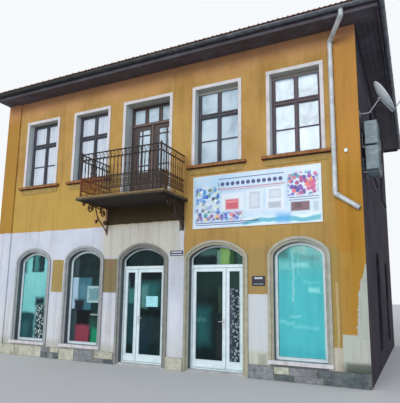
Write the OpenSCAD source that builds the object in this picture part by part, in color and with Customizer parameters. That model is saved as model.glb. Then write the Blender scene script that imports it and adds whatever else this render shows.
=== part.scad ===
/* [Building] */
// Length of the street front
length = 10360; // [10200:20:10900]
// Depth from the street front to the rear wall
depth = 8600; // [7600:50:10000]
// Height of the ground storey walls, up to the underside of the upper floor
ground_h = 3790; // [3600:10:4100]
// Height of the upper storey walls
upper_h = 3700; // [3400:10:4100]
// Thickness of the ground storey walls
ground_wall_t = 450; // [380:10:600]
// Thickness of the upper storey walls
upper_wall_t = 380; // [250:10:380]
// Thickness of the ground floor slab, which is also the doorstep
ground_floor_t = 60; // [40:5:65]
// Thickness of the upper floor
upper_floor_t = 220; // [160:10:260]
// Thickness of the attic floor boards over the upper storey
attic_floor_t = 60; // [40:5:80]
// How far the attic floor bears on the walls
attic_bearing = 120; // [80:10:200]

/* [Bays] */
// Place of the first window bay, as a share of half the front from its middle
bay1_share = -0.71525; // [-0.72500:0.00005:-0.71200]
// Place of the second window bay
bay2_share = -0.36062; // [-0.36600:0.00002:-0.35500]
// Place of the balcony and left door bay
bay3_share = -0.00579; // [-0.01100:0.00001:0.00000]
// Place of the right door bay
bay4_share = 0.37548; // [0.37000:0.00002:0.38100]
// Place of the last window bay
bay5_share = 0.74170; // [0.73600:0.00005:0.74300]

/* [Upper windows] */
// Width of an upper window opening
upper_win_w = 1130; // [1000:10:1200]
// Height of the window board above the upper floor
upper_win_sill = 770; // [650:10:900]
// Height of an upper window opening
upper_win_h = 1960; // [1800:10:2020]
// How far the upper frames stand back from the wall face
upper_recess = 180; // [120:10:220]
// Width of the upper window frame
upper_frame_w = 60; // [45:5:80]
// Depth of the upper window frame
upper_frame_d = 70; // [50:5:90]
// Share of the opening height under the transom
upper_transom_share = 0.66; // [0.5:0.02:0.7]
// Height of the transom bar
upper_transom_h = 90; // [60:5:110]
// Thickness of a glass pane
glass_t = 8; // [4:1:12]

/* [Surrounds] */
// Width of the plaster surround of an upper opening
surround_w = 80; // [60:5:110]
// How far the surround stands proud of the wall
surround_d = 22; // [15:1:35]
// How far a window sill passes the surround at each side
sill_side = 115; // [90:5:140]
// Thickness of a window sill
sill_t = 70; // [50:5:90]
// How far a sill stands out from the wall
sill_d = 95; // [70:5:95]
// Height of the plain apron under a sill
apron_h = 150; // [100:5:200]
// How far the apron stands proud of the wall
apron_d = 18; // [12:1:30]
// How far the apron stops short of the sill's ends
apron_inset = 80; // [50:5:110]

/* [Balcony door] */
// Width of the balcony door opening
balcony_door_w = 1360; // [1200:10:1440]
// Height of the balcony door's own sill over the balcony slab
balcony_door_step = 40; // [20:5:70]
// How far the balcony door's frame stands back from the wall face
balcony_door_recess = 300; // [120:10:310]
// Height of the fanlight over the balcony door leaves
balcony_fanlight_h = 560; // [450:10:650]
// Width of a stile of a balcony door leaf
balcony_stile_w = 90; // [70:5:110]
// Height of the timber panel in a balcony door leaf
balcony_panel_h = 760; // [600:10:900]

/* [Shop front] */
// Width of a shop window opening
shop_win_w = 1080; // [1000:10:1120]
// Height of the shop window opening's foot above the ground
shop_win_z = 400; // [370:5:450]
// Width of the left door opening
left_door_w = 1240; // [1160:10:1280]
// Width of the right door opening
right_door_w = 1330; // [1260:10:1360]
// Height of the wall over the crowns of the arches
arch_wall_h = 950; // [900:5:990]
// Rise of the arches over the spring line
arch_rise = 320; // [280:5:350]
// Radius of the rounded haunch of a shop window arch
window_haunch_r = 190; // [150:5:220]
// Radius of the rounded haunch of a door arch
door_haunch_r = 120; // [100:5:160]
// Number of flat faces on each haunch
haunch_steps = 5; // [3:1:8]
// Number of flat faces on the crown of an arch
crown_steps = 14; // [8:1:20]
// How far the shop frames stand back from the wall face
shop_recess = 120; // [90:5:160]
// Depth of the shop frames
shop_frame_d = 70; // [60:5:80]
// Width of the shop window frames
shop_frame_w = 62; // [50:2:70]
// Width of the plaster band round a shop opening
band_w = 120; // [100:5:130]
// How far the outer moulding of a band stands proud
band_outer_d = 38; // [28:1:45]
// How far the inner moulding of a band stands proud
band_inner_d = 14; // [8:1:20]
// Height of the bands' feet above the ground
band_z = 20; // [15:5:60]
// Thickness of a shop window sill
shop_sill_t = 75; // [60:5:90]
// How far a shop window sill stands out from the wall
shop_sill_d = 95; // [70:5:120]

/* [Doors] */
// Width of a door frame's jamb
jamb_w = 38; // [34:1:44]
// Height of the threshold bar over the doorstep
threshold_h = 25; // [15:1:30]
// How far the underside of a door's transom lies below the spring line
transom_drop = 190; // [160:5:240]
// Height of the transom bar
transom_h = 70; // [55:5:90]
// Thickness of a door leaf
leaf_t = 60; // [50:1:60]
// Width of a door leaf's stile and top rail
stile_w = 80; // [70:1:90]
// Height of a door leaf's bottom rail
bottom_rail_h = 175; // [130:5:220]
// Width of the narrow leaf of the left door
left_side_leaf_w = 366; // [330:2:400]
// Width of the narrow leaf of the right door
right_side_leaf_w = 400; // [360:2:440]
// Gap between a leaf and its frame
leaf_gap = 8; // [6:0.5:10]
// Gap between the two leaves of a door
meeting_gap = 14; // [13:0.5:18]
// Radius of a hinge pin
hinge_pin_r = 5; // [4:0.5:6]
// Wall of a hinge knuckle round its pin
knuckle_wall = 5; // [4:0.5:6]
// Clearance of a knuckle round its pin and over its lug
hinge_clear = 0.3; // [0.2:0.05:0.5]
// Height of a hinge knuckle
knuckle_h = 60; // [45:1:80]
// Height of a hinge lug
lug_h = 22; // [16:1:30]
// Height of the lower hinge over a leaf's foot
hinge_low = 180; // [140:10:260]
// Distance of the upper hinge below a leaf's top
hinge_high = 260; // [200:10:340]
// Width of a hinge's plate on the face of its leaf
hinge_plate_w = 34; // [26:1:50]
// Gap between a knuckle and the face of its leaf
knuckle_gap = 2; // [1:0.5:4]
// How far a hinge pin stands out over its knuckle
pin_past = 5; // [3:1:10]
// Height of the door handles above the ground
handle_z = 1120; // [1000:10:1200]
// Length of a handle's lever
lever_l = 120; // [100:5:130]
// Radius of a handle's lever
lever_r = 9; // [7:0.5:11]
// How far a lever stands out from its leaf
lever_out = 48; // [40:1:55]
// Height of a handle's back plate
plate_h = 220; // [180:5:240]
// Width of a handle's back plate
plate_w = 32; // [26:1:40]
// Thickness of a handle's back plate
plate_t = 8; // [5:1:10]

/* [Trim] */
// Gap between the last window sill and the corner pilaster
pilaster_gap = 78; // [40:2:120]
// How far a corner pilaster stands proud of the front
pilaster_d = 40; // [25:1:60]
// Height of the stone plinth
plinth_h = 280; // [250:5:300]
// How far the plinth stands proud of the front
plinth_d = 70; // [55:5:90]

/* [Balcony] */
// Where the balcony slab starts, to the left of the bay's centre
balcony_left = 1230; // [1180:10:1380]
// Where the balcony slab ends, to the right of the bay's centre
balcony_right = 1240; // [1180:10:1280]
// How far the balcony slab stands out from the wall
balcony_d = 1150; // [1000:10:1250]
// Thickness of the balcony slab
balcony_t = 80; // [60:5:140]
// How far the balcony slab lies below the upper floor
balcony_drop = 10; // [0:5:30]
// How far the railing stands in from the slab's left end
rail_left_inset = 90; // [60:10:220]
// How far the railing stands in from the slab's right end
rail_right_inset = 120; // [60:10:160]
// How far the railing stands in from the slab's front edge
rail_front_inset = 60; // [45:5:90]
// Height of the railing over the slab
rail_h = 1080; // [950:10:1150]
// Thickness of the railing's flat bars
rail_bar_t = 20; // [14:1:26]
// Distance from the top of the hand rail to the top of the second rail
rail_frieze_h = 150; // [110:5:180]
// Height of the bottom rail over the slab
rail_foot_h = 150; // [100:5:190]
// Height of the rail over the ring band, over the slab
rail_band_h = 455; // [400:5:520]
// Width of a baluster bar
baluster_w = 14; // [10:1:18]
// Largest distance between balusters
baluster_pitch = 112; // [95:1:130]
// Width of a railing post and of the hand rail
rail_post_w = 34; // [26:1:44]
// Thickness of the bar that the railing's rings and scrolls are bent from
scroll_bar = 8; // [6:1:10]
// How far a ring or scroll is let into the bars it touches
scroll_lap = 1; // [0.5:0.5:2]
// Thickness of a balcony bracket's bars across the wall
bracket_t = 40; // [30:2:60]
// Width of the bar a bracket is forged from
bracket_bar = 26; // [20:1:32]
// Height of a balcony bracket
bracket_h = 700; // [600:10:760]
// How far the slab passes the brackets at the front
bracket_inset = 140; // [80:10:220]
// How far the left bracket stands outside the railing
bracket_left_out = 0; // [0:5:80]
// How far the right bracket stands outside the railing
bracket_right_out = 10; // [0:5:60]
// Width of the bar that a bracket's scrolls are bent from
bracket_scroll_bar = 18; // [14:1:22]
// Thickness of a bracket's bends and scrolls across the wall
bracket_scroll_t = 32; // [24:1:38]
// Share of its section that a bar keeps towards a scroll's eye and in a curl
bracket_eye_share = 0.75; // [0.6:0.05:0.9]
// Radius of the two large scrolls in a bracket
bracket_scroll_r = 95; // [80:5:105]
// Radius of the small curls on a bracket
bracket_curl_r = 36; // [28:1:42]
// Place of the outer scroll as a share of the bracket's reach
bracket_scroll_share = 0.69; // [0.66:0.01:0.74]
// Radius of the long bend between a bracket's foot and the slab
bracket_bend_r = 1000; // [900:10:1200]
// Top of the long bend as a share of the bracket's reach
bracket_bend_share = 0.53; // [0.5:0.01:0.55]
// Foot of the long bend as a share of the bracket's height
bracket_foot_share = 0.89; // [0.8:0.01:0.92]
// How far the corner posts rise over the hand rail
post_cap_h = 30; // [25:5:60]
// Radius of the ball on a corner post
post_ball_r = 22; // [18:1:24]

/* [Roof] */
// Overhang of the eaves over the front and rear walls
eave_front = 600; // [500:10:700]
// Overhang of the eaves over the right flank
eave_side = 500; // [420:10:600]
// Thickness of the soffit boards
soffit_t = 60; // [40:5:80]
// Thickness of the fascia board
fascia_t = 25; // [20:1:32]
// Height of the fascia board
fascia_h = 150; // [120:5:180]
// Slope of the roof in degrees
roof_pitch = 22; // [16:1:30]
// Upright thickness of the roof with its rafters
roof_t = 190; // [170:5:240]
// Height of the roof's upright edge at the eaves
roof_edge_h = 60; // [40:5:80]
// Number of tile courses up each slope
course_count = 16; // [14:1:18]
// How far the lowest course would pass the eaves, level
course_overhang = 60; // [40:5:80]
// Upright height of a course's lower edge over the roof boards
course_lift = 43; // [36:1:48]
// Upright height of a course over the roof boards where the next one covers it
course_head = 24; // [16:1:30]
// Radius of a ridge tile
ridge_r = 110; // [90:5:140]
// Number of flat faces round a ridge tile
cap_faces = 16; // [10:2:20]
// Outer radius of the half-round gutter
gutter_r = 65; // [55:5:75]
// Wall of the gutter
gutter_wall = 6; // [4:1:8]
// Number of flat faces round the gutter
gutter_steps = 12; // [8:1:16]
// Radius of the downpipe
pipe_r = 50; // [40:1:56]
// Wall of the downpipe
pipe_wall = 4; // [3:0.5:6]
// Gap between the downpipe and the corner pilaster behind it
pipe_gap = 10; // [5:1:25]
// Gap between a pipe clip and the end of the last window sill
pipe_sill_gap = 5; // [3:1:20]
// How far a pipe clip stands out round the pipe
clip_wall = 5; // [3:1:8]
// Height of a pipe clip
clip_h = 30; // [20:2:40]
// Width and height of the bar that holds a clip to the wall
clip_bar = 20; // [14:1:28]
// Distance of the gutter outlet from the right corner
outlet_corner = 190; // [120:5:240]
// How far the outlet's bend lies below the foot of the fascia
outlet_drop = 40; // [30:5:80]
// Drop of the swan neck from the gutter's underside to the wall
neck_drop = 330; // [280:5:400]
// Height of the downpipe's lower bend above the upper floor level
pipe_bend_z = -225; // [-300:5:0]
// Length of the slanting spout under the bend
spout_l = 560; // [400:10:640]
// Slope of the spout below level in degrees
spout_slope = 36; // [25:1:45]

/* [Fittings] */
// Gap between the balcony and the sign board
sign_side_gap = 150; // [100:5:400]
// Height of the sign board
sign_h = 1260; // [1100:10:1300]
// Thickness of the sign board
sign_t = 24; // [15:1:35]
// Gap between the sign board and the aprons over it
sign_gap = 68; // [40:2:100]
// Distance from the right corner to the sign board's right end
sign_corner = 800; // [780:5:880]
// Width of the street plate, as a share of the wall between the bands
street_plate_share = 0.78; // [0.60:0.02:0.86]
// Height of the street plate
street_plate_h = 125; // [90:5:150]
// Height of the street plate's foot over the spring line
street_plate_up = 98; // [60:2:140]
// Width of the number plate, as a share of the wall between the bands
number_plate_share = 0.66; // [0.50:0.02:0.74]
// Height of the number plate
number_plate_h = 215; // [160:5:240]
// How far the number plate's foot lies below the spring line
number_plate_drop = 608; // [560:2:680]
// Thickness of the plates
plate_sheet_t = 6; // [4:1:10]
// Width of an air conditioner's outdoor unit along the flank
ac_w = 780; // [700:10:860]
// Depth of an outdoor unit
ac_d = 270; // [240:5:300]
// Height of an outdoor unit
ac_h = 520; // [480:5:560]
// Distance of the outdoor units from the front corner
ac_y = 290; // [200:10:400]
// Height of the lower unit's foot over the upper floor
ac_up = 310; // [200:10:400]
// Gap between the two outdoor units
ac_gap = 30; // [20:2:60]
// Gap between an outdoor unit and the wall
ac_wall_gap = 60; // [40:5:100]
// Distance of a unit's bracket from the unit's end
ac_arm_inset = 130; // [80:10:200]
// Width of a unit's bracket bar
ac_arm_t = 20; // [16:1:30]
// Length of a bracket's arm under a unit
ac_arm_l = 300; // [260:10:320]
// Height of a bracket's back bar
ac_back_h = 310; // [200:10:400]
// Diameter of the satellite dish
dish_dia = 700; // [600:10:800]
// Depth of the satellite dish
dish_depth = 65; // [50:5:90]
// Thickness of the dish's sheet
dish_t = 4; // [3:0.5:6]
// Number of conical rings that make up the dish
dish_steps = 8; // [5:1:12]
// Distance from the flank to the middle of the dish
dish_out = 430; // [410:10:520]
// Distance from the front corner back to the middle of the dish
dish_back = 150; // [100:10:260]
// Height of the middle of the dish over the upper floor
dish_up = 1780; // [1740:10:1880]
// Upward tilt of the dish in degrees
dish_elevation = 30; // [20:1:40]
// Turn of the dish from straight out of the flank, in degrees
dish_turn = 4; // [-10:1:15]
// Height of the dish's middle over its arm
dish_arm_drop = 290; // [240:10:320]
// Distance from the flank to the arm's elbow
dish_elbow_out = 190; // [150:10:230]
// Size of the plate that holds the arm to the flank
dish_plate = 120; // [90:10:160]
// Thickness of the arm's wall plate
dish_plate_t = 8; // [5:1:12]
// Radius of the hub behind the dish
dish_hub_r = 38; // [30:2:50]
// Length of the hub behind the dish
dish_hub_l = 60; // [40:5:80]
// Distance of the receiver strut's foot outside the rim
dish_strut_out = 45; // [35:5:70]
// How far the receiver strut leans in over the dish
dish_strut_lean = 165; // [120:5:200]
// Radius of the receiver strut
dish_strut_r = 10; // [8:1:14]
// Radius of the receiver head
receiver_r = 30; // [22:1:38]
// Length of the receiver head
receiver_l = 80; // [60:5:100]
// Radius of the dish's arm
dish_arm_r = 15; // [12:1:20]
// Distance of the receiver head in front of the dish's rim
dish_focus = 330; // [260:10:380]
// Width of the small junction box on the right pilaster
box_w = 60; // [40:5:90]
// Height of the junction box
box_h = 70; // [50:5:100]
// Depth of the junction box
box_d = 45; // [30:5:60]
// Distance from the right corner to the junction box
box_corner = 250; // [200:10:350]
// Height of the junction box over the upper floor
box_up = 640; // [540:10:740]

/* [Hidden] */
$fn = 48;

// Colours of the real materials
ochre = "goldenrod";
plaster = "whitesmoke";
timber = "saddlebrown";
pvc = "white";
iron = "sienna";
pane = "lightsteelblue";

// Small length by which a cut passes a face
past = 20;
// Joint between the gable's top and the roof on it
seat_gap = 0.3;
half_l = length / 2;
half_d = depth / 2;
bay1_x = round(bay1_share * half_l);
bay2_x = round(bay2_share * half_l);
bay3_x = round(bay3_share * half_l);
bay4_x = round(bay4_share * half_l);
bay5_x = round(bay5_share * half_l);
spring_z = ground_h - arch_wall_h - arch_rise;
transom_z = spring_z - transom_drop;
upper_floor_z = ground_h + upper_floor_t;
wall_top = ground_h + upper_h;
win_z = upper_floor_z + upper_win_sill;
win_top = win_z + upper_win_h;
balcony_door_z = upper_floor_z + balcony_door_step;
upper_bays = [bay1_x, bay2_x, bay4_x, bay5_x];
shop_bays = [bay1_x, bay2_x, bay5_x];
flank_bays = [-depth / 6, depth / 5];
left_door_half = left_door_w / 2;
right_door_half = right_door_w / 2;
shop_half = shop_win_w / 2;
half_sill = upper_win_w / 2 + surround_w + sill_side;

// Wall frames: X runs along the wall, Y goes into it from the outer face
module at_front() {
    translate([0, -half_d, 0])
        children();
}

module at_rear() {
    translate([0, half_d, 0])
        rotate([0, 0, 180])
            children();
}

module at_right() {
    translate([half_l, 0, 0])
        rotate([0, 0, 90])
            children();
}

// A flat outline drawn in X and Z, made solid from y0 to y1
module into_wall(y0, y1) {
    translate([0, y1, 0])
        rotate([90, 0, 0])
            linear_extrude(y1 - y0)
                children();
}

module block(x0, x1, y0, y1, z0, z1) {
    translate([x0, y0, z0])
        cube([x1 - x0, y1 - y0, z1 - z0]);
}

// Points of a basket arch over the spring line, from right to left.
// The haunches turn on a small radius and the crown on a large one.
function crown_r(half, haunch) =
    ((half - haunch) * (half - haunch) + arch_rise * arch_rise - haunch * haunch)
    / (2 * (arch_rise - haunch));

function haunch_angle(half, haunch) =
    atan2(crown_r(half, haunch) - arch_rise, half - haunch);

function haunch_points(half, haunch, grow) = [
    for (i = [0:haunch_steps])
        let (a = haunch_angle(half, haunch) * i / haunch_steps)
            [half - haunch + (haunch + grow) * cos(a), spring_z + (haunch + grow) * sin(a)]
];

function crown_points(half, haunch, grow) = [
    for (i = [1:crown_steps - 1])
        let (
            a0 = haunch_angle(half, haunch),
            a = a0 + (180 - 2 * a0) * i / crown_steps,
            r = crown_r(half, haunch)
        )
            [(r + grow) * cos(a), spring_z + arch_rise - r + (r + grow) * sin(a)]
];

function mirrored(points) = [
    for (i = [len(points) - 1:-1:0])
        [-points[i][0], points[i][1]]
];

// Outline of an arched opening, grown or shrunk all round above its foot
module arch_outline(half, haunch, foot_z, grow = 0) {
    right = haunch_points(half, haunch, grow);
    polygon(concat(
        [[-half - grow, foot_z], [half + grow, foot_z]],
        right,
        crown_points(half, haunch, grow),
        mirrored(right)
    ));
}

// Runs its children at each of the given places along a wall
module at_bays(places) {
    for (x = places)
        translate([x, 0, 0])
            children();
}

module shop_opening(foot_z, grow = 0) {
    arch_outline(shop_half, window_haunch_r, foot_z, grow);
}

module left_door_opening(foot_z, grow = 0) {
    arch_outline(left_door_half, door_haunch_r, foot_z, grow);
}

module right_door_opening(foot_z, grow = 0) {
    arch_outline(right_door_half, door_haunch_r, foot_z, grow);
}

// Floors
module ground_floor() {
    color("gray") {
        union() {
            block(
                -half_l + ground_wall_t, half_l - ground_wall_t,
                -half_d + ground_wall_t, half_d - ground_wall_t,
                0, ground_floor_t
            );
            at_front() {
                block(
                    bay3_x - left_door_half, bay3_x + left_door_half,
                    0, ground_wall_t, 0, ground_floor_t
                );
                block(
                    bay4_x - right_door_half, bay4_x + right_door_half,
                    0, ground_wall_t, 0, ground_floor_t
                );
            }
        }
    }
}

module upper_floor() {
    color("tan")
        block(
            -half_l + upper_wall_t, half_l - upper_wall_t,
            -half_d + upper_wall_t, half_d - upper_wall_t,
            ground_h, upper_floor_z
        );
}

module attic_floor() {
    inset = upper_wall_t - attic_bearing;
    color("burlywood")
        block(
            -half_l + inset, half_l - inset,
            -half_d + inset, half_d - inset,
            wall_top, wall_top + attic_floor_t
        );
}

// Ground storey: the front is split beside and over the doorways
module front_wall_left() {
    color(plaster)
        at_front()
            difference() {
                block(-half_l, bay3_x - left_door_half, 0, ground_wall_t, 0, spring_z);
                for (x = [bay1_x, bay2_x])
                    block(
                        x - shop_half, x + shop_half,
                        -past, ground_wall_t + past, shop_win_z, spring_z + past
                    );
            }
}

module front_pier() {
    color(plaster)
        at_front()
            block(
                bay3_x + left_door_half, bay4_x - right_door_half,
                0, ground_wall_t, 0, spring_z
            );
}

module front_wall_right() {
    color(ochre)
        at_front()
            difference() {
                block(bay4_x + right_door_half, half_l, 0, ground_wall_t, 0, spring_z);
                block(
                    bay5_x - shop_half, bay5_x + shop_half,
                    -past, ground_wall_t + past, shop_win_z, spring_z + past
                );
            }
}

module front_arch_wall() {
    color(ochre)
        at_front()
            difference() {
                block(-half_l, half_l, 0, ground_wall_t, spring_z, ground_h);
                at_bays(shop_bays)
                    into_wall(-past, ground_wall_t + past)
                        shop_opening(shop_win_z);
                at_bays([bay3_x])
                    into_wall(-past, ground_wall_t + past)
                        left_door_opening(shop_win_z);
                at_bays([bay4_x])
                    into_wall(-past, ground_wall_t + past)
                        right_door_opening(shop_win_z);
            }
}

module left_wall() {
    color(plaster)
        block(
            -half_l, -half_l + ground_wall_t,
            -half_d + ground_wall_t, half_d - ground_wall_t,
            0, ground_h
        );
}

module right_wall() {
    color(ochre)
        difference() {
            block(
                half_l - ground_wall_t, half_l,
                -half_d + ground_wall_t, half_d - ground_wall_t,
                0, ground_h
            );
            at_right()
                at_bays(flank_bays)
                    into_wall(-past, ground_wall_t + past)
                        shop_opening(shop_win_z);
        }
}

module rear_wall() {
    color(ochre)
        at_rear()
            difference() {
                block(-half_l, half_l, 0, ground_wall_t, 0, ground_h);
                at_bays(shop_bays)
                    into_wall(-past, ground_wall_t + past)
                        shop_opening(shop_win_z);
            }
}

// Upper storey
module upper_win_cut() {
    block(
        -upper_win_w / 2, upper_win_w / 2,
        -past, upper_wall_t + past, win_z, win_top
    );
}

module front_wall_upper() {
    color(ochre)
        at_front()
            difference() {
                block(-half_l, half_l, 0, upper_wall_t, ground_h, wall_top);
                at_bays(upper_bays)
                    upper_win_cut();
                block(
                    bay3_x - balcony_door_w / 2, bay3_x + balcony_door_w / 2,
                    -past, upper_wall_t + past, balcony_door_z, win_top
                );
            }
}

module rear_wall_upper() {
    color(ochre)
        at_rear()
            difference() {
                block(-half_l, half_l, 0, upper_wall_t, ground_h, wall_top);
                at_bays(upper_bays)
                    upper_win_cut();
            }
}

// The left flank stands on the plot line: it has no opening and no eaves,
// and it rises to the roof as a gable
module left_wall_upper() {
    inside = roof_run - (roof_t - roof_edge_h + seat_gap) / tan(roof_pitch);
    color(ochre)
        union() {
            block(
                -half_l, -half_l + upper_wall_t,
                -half_d + upper_wall_t, half_d - upper_wall_t,
                ground_h, wall_top
            );
            translate([-half_l, 0, 0])
                rotate([90, 0, 90])
                    linear_extrude(upper_wall_t - attic_bearing)
                        polygon([
                            [-inside, eave_z],
                            [inside, eave_z],
                            [0, eave_z + inside * tan(roof_pitch)]
                        ]);
            block(
                -half_l, -half_l + upper_wall_t - attic_bearing,
                -half_d + upper_wall_t, half_d - upper_wall_t,
                wall_top, eave_z
            );
        }
}

module right_wall_upper() {
    color(ochre)
        difference() {
            block(
                half_l - upper_wall_t, half_l,
                -half_d + upper_wall_t, half_d - upper_wall_t,
                ground_h, wall_top
            );
            at_right()
                at_bays(flank_bays)
                    upper_win_cut();
        }
}

// Eaves: a boarded soffit on three sides, closed by the fascia board
module eaves_soffit() {
    inset = upper_wall_t - attic_bearing;
    color("saddlebrown")
        difference() {
            block(
                -half_l, half_l + eave_side - fascia_t,
                -half_d - eave_front + fascia_t, half_d + eave_front - fascia_t,
                wall_top, wall_top + soffit_t
            );
            block(
                -half_l - past, half_l - inset,
                -half_d + inset, half_d - inset,
                wall_top - past, wall_top + soffit_t + past
            );
        }
}

module fascia() {
    foot = wall_top + soffit_t - fascia_h;
    color("sienna")
        difference() {
            block(
                -half_l, half_l + eave_side,
                -half_d - eave_front, half_d + eave_front,
                foot, wall_top + soffit_t
            );
            block(
                -half_l - past, half_l + eave_side - fascia_t,
                -half_d - eave_front + fascia_t, half_d + eave_front - fascia_t,
                foot - past, wall_top + soffit_t + past
            );
        }
}

// Lengths that the roof's parts share
roof_run = half_d + eave_front;
roof_rise = roof_run * tan(roof_pitch);
right_edge = half_l + eave_side;
eave_z = wall_top + soffit_t;

// Two slopes that meet at the ridge, with a hip over the right flank
module hipped_form(left, right, half_w, foot_z) {
    over = past * tan(roof_pitch);
    top_z = foot_z + half_w * tan(roof_pitch);
    intersection() {
        translate([left, 0, 0])
            rotate([90, 0, 90])
                linear_extrude(right - left + past)
                    polygon([[-half_w, foot_z], [half_w, foot_z], [0, top_z]]);
        translate([0, half_w + past, 0])
            rotate([90, 0, 0])
                linear_extrude(2 * (half_w + past))
                    polygon([
                        [left - past, foot_z - over], [right, foot_z - over], [right, foot_z],
                        [right - half_w - past, top_z + over], [left - past, top_z + over]
                    ]);
    }
}

course_run = round((roof_run + course_overhang) / course_count);

// Stepped line up one slope: level distance from the eaves, and height
slope_line = [
    for (i = [0:course_count - 1])
        for (end = [0, 1])
            let (
                last = end == 1 && i == course_count - 1,
                s = last ? roof_run : max(0, (i + end) * course_run - course_overhang),
                over_boards = end == 0 ? course_lift : course_head
            )
            [s, eave_z + roof_edge_h + s * tan(roof_pitch) + over_boards]
];

// The tiled slopes: one stepped profile along the house and one over the hip
module roof_outer() {
    last = len(slope_line) - 1;
    top_z = slope_line[last][1];
    over = past * tan(roof_pitch);
    intersection() {
        translate([-half_l, 0, 0])
            rotate([90, 0, 90])
                linear_extrude(half_l + right_edge + past)
                    polygon(concat(
                        [[-roof_run, eave_z], [roof_run, eave_z]],
                        [for (p = slope_line) [roof_run - p[0], p[1]]],
                        [for (i = [last - 1:-1:0]) [slope_line[i][0] - roof_run, slope_line[i][1]]]
                    ));
        translate([0, roof_run + past, 0])
            rotate([90, 0, 0])
                linear_extrude(2 * (roof_run + past))
                    polygon(concat(
                        [[-half_l - past, eave_z - over], [right_edge, eave_z - over]],
                        [for (p = slope_line) [right_edge - p[0], p[1]]],
                        [[right_edge - roof_run - past, top_z + over], [-half_l - past, top_z + over]]
                    ));
    }
}

module roof() {
    cut = (roof_t - roof_edge_h - past) / tan(roof_pitch);
    color("indianred")
        difference() {
            roof_outer();
            hipped_form(-half_l - past, right_edge - cut, roof_run - cut, eave_z - past);
        }
}

// A half-round cap of flat faces that runs along X
module cap(l) {
    rotate([90, 0, 90])
        linear_extrude(l)
            polygon([
                for (i = [0:cap_faces - 1])
                    let (a = 360 * (i + 0.5) / cap_faces)
                        [ridge_r * cos(a), ridge_r * sin(a)]
            ]);
}

module ridge_tiles() {
    top_z = eave_z + roof_edge_h + roof_rise - ridge_r / 3;
    ridge_end = right_edge - roof_run;
    hip_l = norm([roof_run, roof_run, roof_rise]);
    hip_slope = atan2(roof_rise, roof_run * sqrt(2));
    color("brown")
        difference() {
            union() {
                translate([-half_l, 0, top_z])
                    cap(ridge_end + half_l);
                for (side = [-1, 1])
                    translate([ridge_end, 0, top_z])
                        rotate([0, hip_slope, side * 45])
                            translate([-ridge_r / 2, 0, 0])
                                cap(hip_l);
            }
            roof_outer();
            block(
                -half_l - past, right_edge + 2 * ridge_r,
                -roof_run - 2 * ridge_r, roof_run + 2 * ridge_r,
                eave_z - 2 * ridge_r, eave_z + roof_edge_h / 2
            );
        }
}

// Half-round gutter on the three eaves
function half_round(r, order) = [
    for (i = order)
        let (a = 180 + 180 * i / gutter_steps)
            [r * cos(a), r * sin(a)]
];

module gutter_run(l) {
    rotate([90, 0, 90])
        linear_extrude(l)
            polygon(concat(
                half_round(gutter_r, [0:gutter_steps]),
                half_round(gutter_r - gutter_wall, [gutter_steps:-1:0])
            ));
}

module gutter_front_run() {
    translate([-half_l, -roof_run - gutter_r, eave_z])
        gutter_run(length + eave_side + 2 * gutter_r);
}

module gutter() {
    color("lightgray") {
        gutter_front_run();
        mirror([0, 1, 0])
            gutter_front_run();
        translate([right_edge + gutter_r, -roof_run, eave_z])
            rotate([0, 0, 90])
                gutter_run(2 * roof_run);
    }
}

// Downpipe: swan neck, straight run on the wall and an open slanting spout
pipe_x = bay5_x + half_sill + pipe_sill_gap + clip_wall + pipe_r;
pipe_y = -half_d - pilaster_d - pipe_gap - pipe_r;
outlet = [half_l - outlet_corner, -roof_run - gutter_r, eave_z - fascia_h - outlet_drop];
neck_end = [pipe_x, pipe_y, eave_z - gutter_r - neck_drop];
bend = [pipe_x, pipe_y, upper_floor_z + pipe_bend_z];
spout_way = [cos(spout_slope), 0, -sin(spout_slope)];
spout_end = bend + spout_l * spout_way;

module rod(a, b, r) {
    d = b - a;
    translate(a)
        rotate([0, acos(d[2] / norm(d)), atan2(d[1], d[0])])
            cylinder(h = norm(d), r = r);
}

module pipe_joint(place) {
    translate(place)
        sphere(r = pipe_r + 1);
}

module downpipe() {
    color("lightgray")
        difference() {
            union() {
                translate(outlet)
                    cylinder(h = outlet_drop + fascia_h - gutter_r / 2, r = pipe_r);
                pipe_joint(outlet);
                rod(outlet, neck_end, pipe_r);
                pipe_joint(neck_end);
                rod(neck_end, bend, pipe_r);
                pipe_joint(bend);
                rod(bend, spout_end, pipe_r);
                for (share = [0.12, 0.5, 0.88])
                    translate(bend + share * (neck_end - bend)) {
                        cylinder(h = clip_h, r = pipe_r + clip_wall, center = true);
                        translate([-clip_bar / 2, 0, -clip_bar / 2])
                            cube([clip_bar, -half_d - pipe_y, clip_bar]);
                    }
            }
            rod(spout_end - spout_l / 2 * spout_way, spout_end + past * spout_way, pipe_r - pipe_wall);
            translate([outlet[0] - 2 * pipe_r, outlet[1], eave_z])
                rotate([90, 0, 90])
                    linear_extrude(4 * pipe_r)
                        polygon(half_round(gutter_r, [0:gutter_steps]));
        }
}

// Trim on the front
module corner_pilasters() {
    inner_x = bay5_x + half_sill + pilaster_gap;
    color(ochre)
        at_front()
            for (side = [-1, 1])
                block(
                    min(side * inner_x, side * half_l), max(side * inner_x, side * half_l),
                    -pilaster_d, 0, plinth_h, wall_top
                );
}

module plinth() {
    color("rosybrown")
        at_front() {
            block(-half_l, bay3_x - left_door_half - band_w, -plinth_d, 0, 0, plinth_h);
            block(
                bay3_x + left_door_half + band_w, bay4_x - right_door_half - band_w,
                -plinth_d, 0, 0, plinth_h
            );
            block(bay4_x + right_door_half + band_w, half_l, -plinth_d, 0, 0, plinth_h);
        }
}

module surround_ring(w, z0, z1) {
    difference() {
        square_at(-w / 2 - surround_w, w / 2 + surround_w, z0, z1 + surround_w);
        square_at(-w / 2, w / 2, z0 - past, z1);
    }
}

module square_at(x0, x1, z0, z1) {
    translate([x0, z0])
        square([x1 - x0, z1 - z0]);
}

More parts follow.
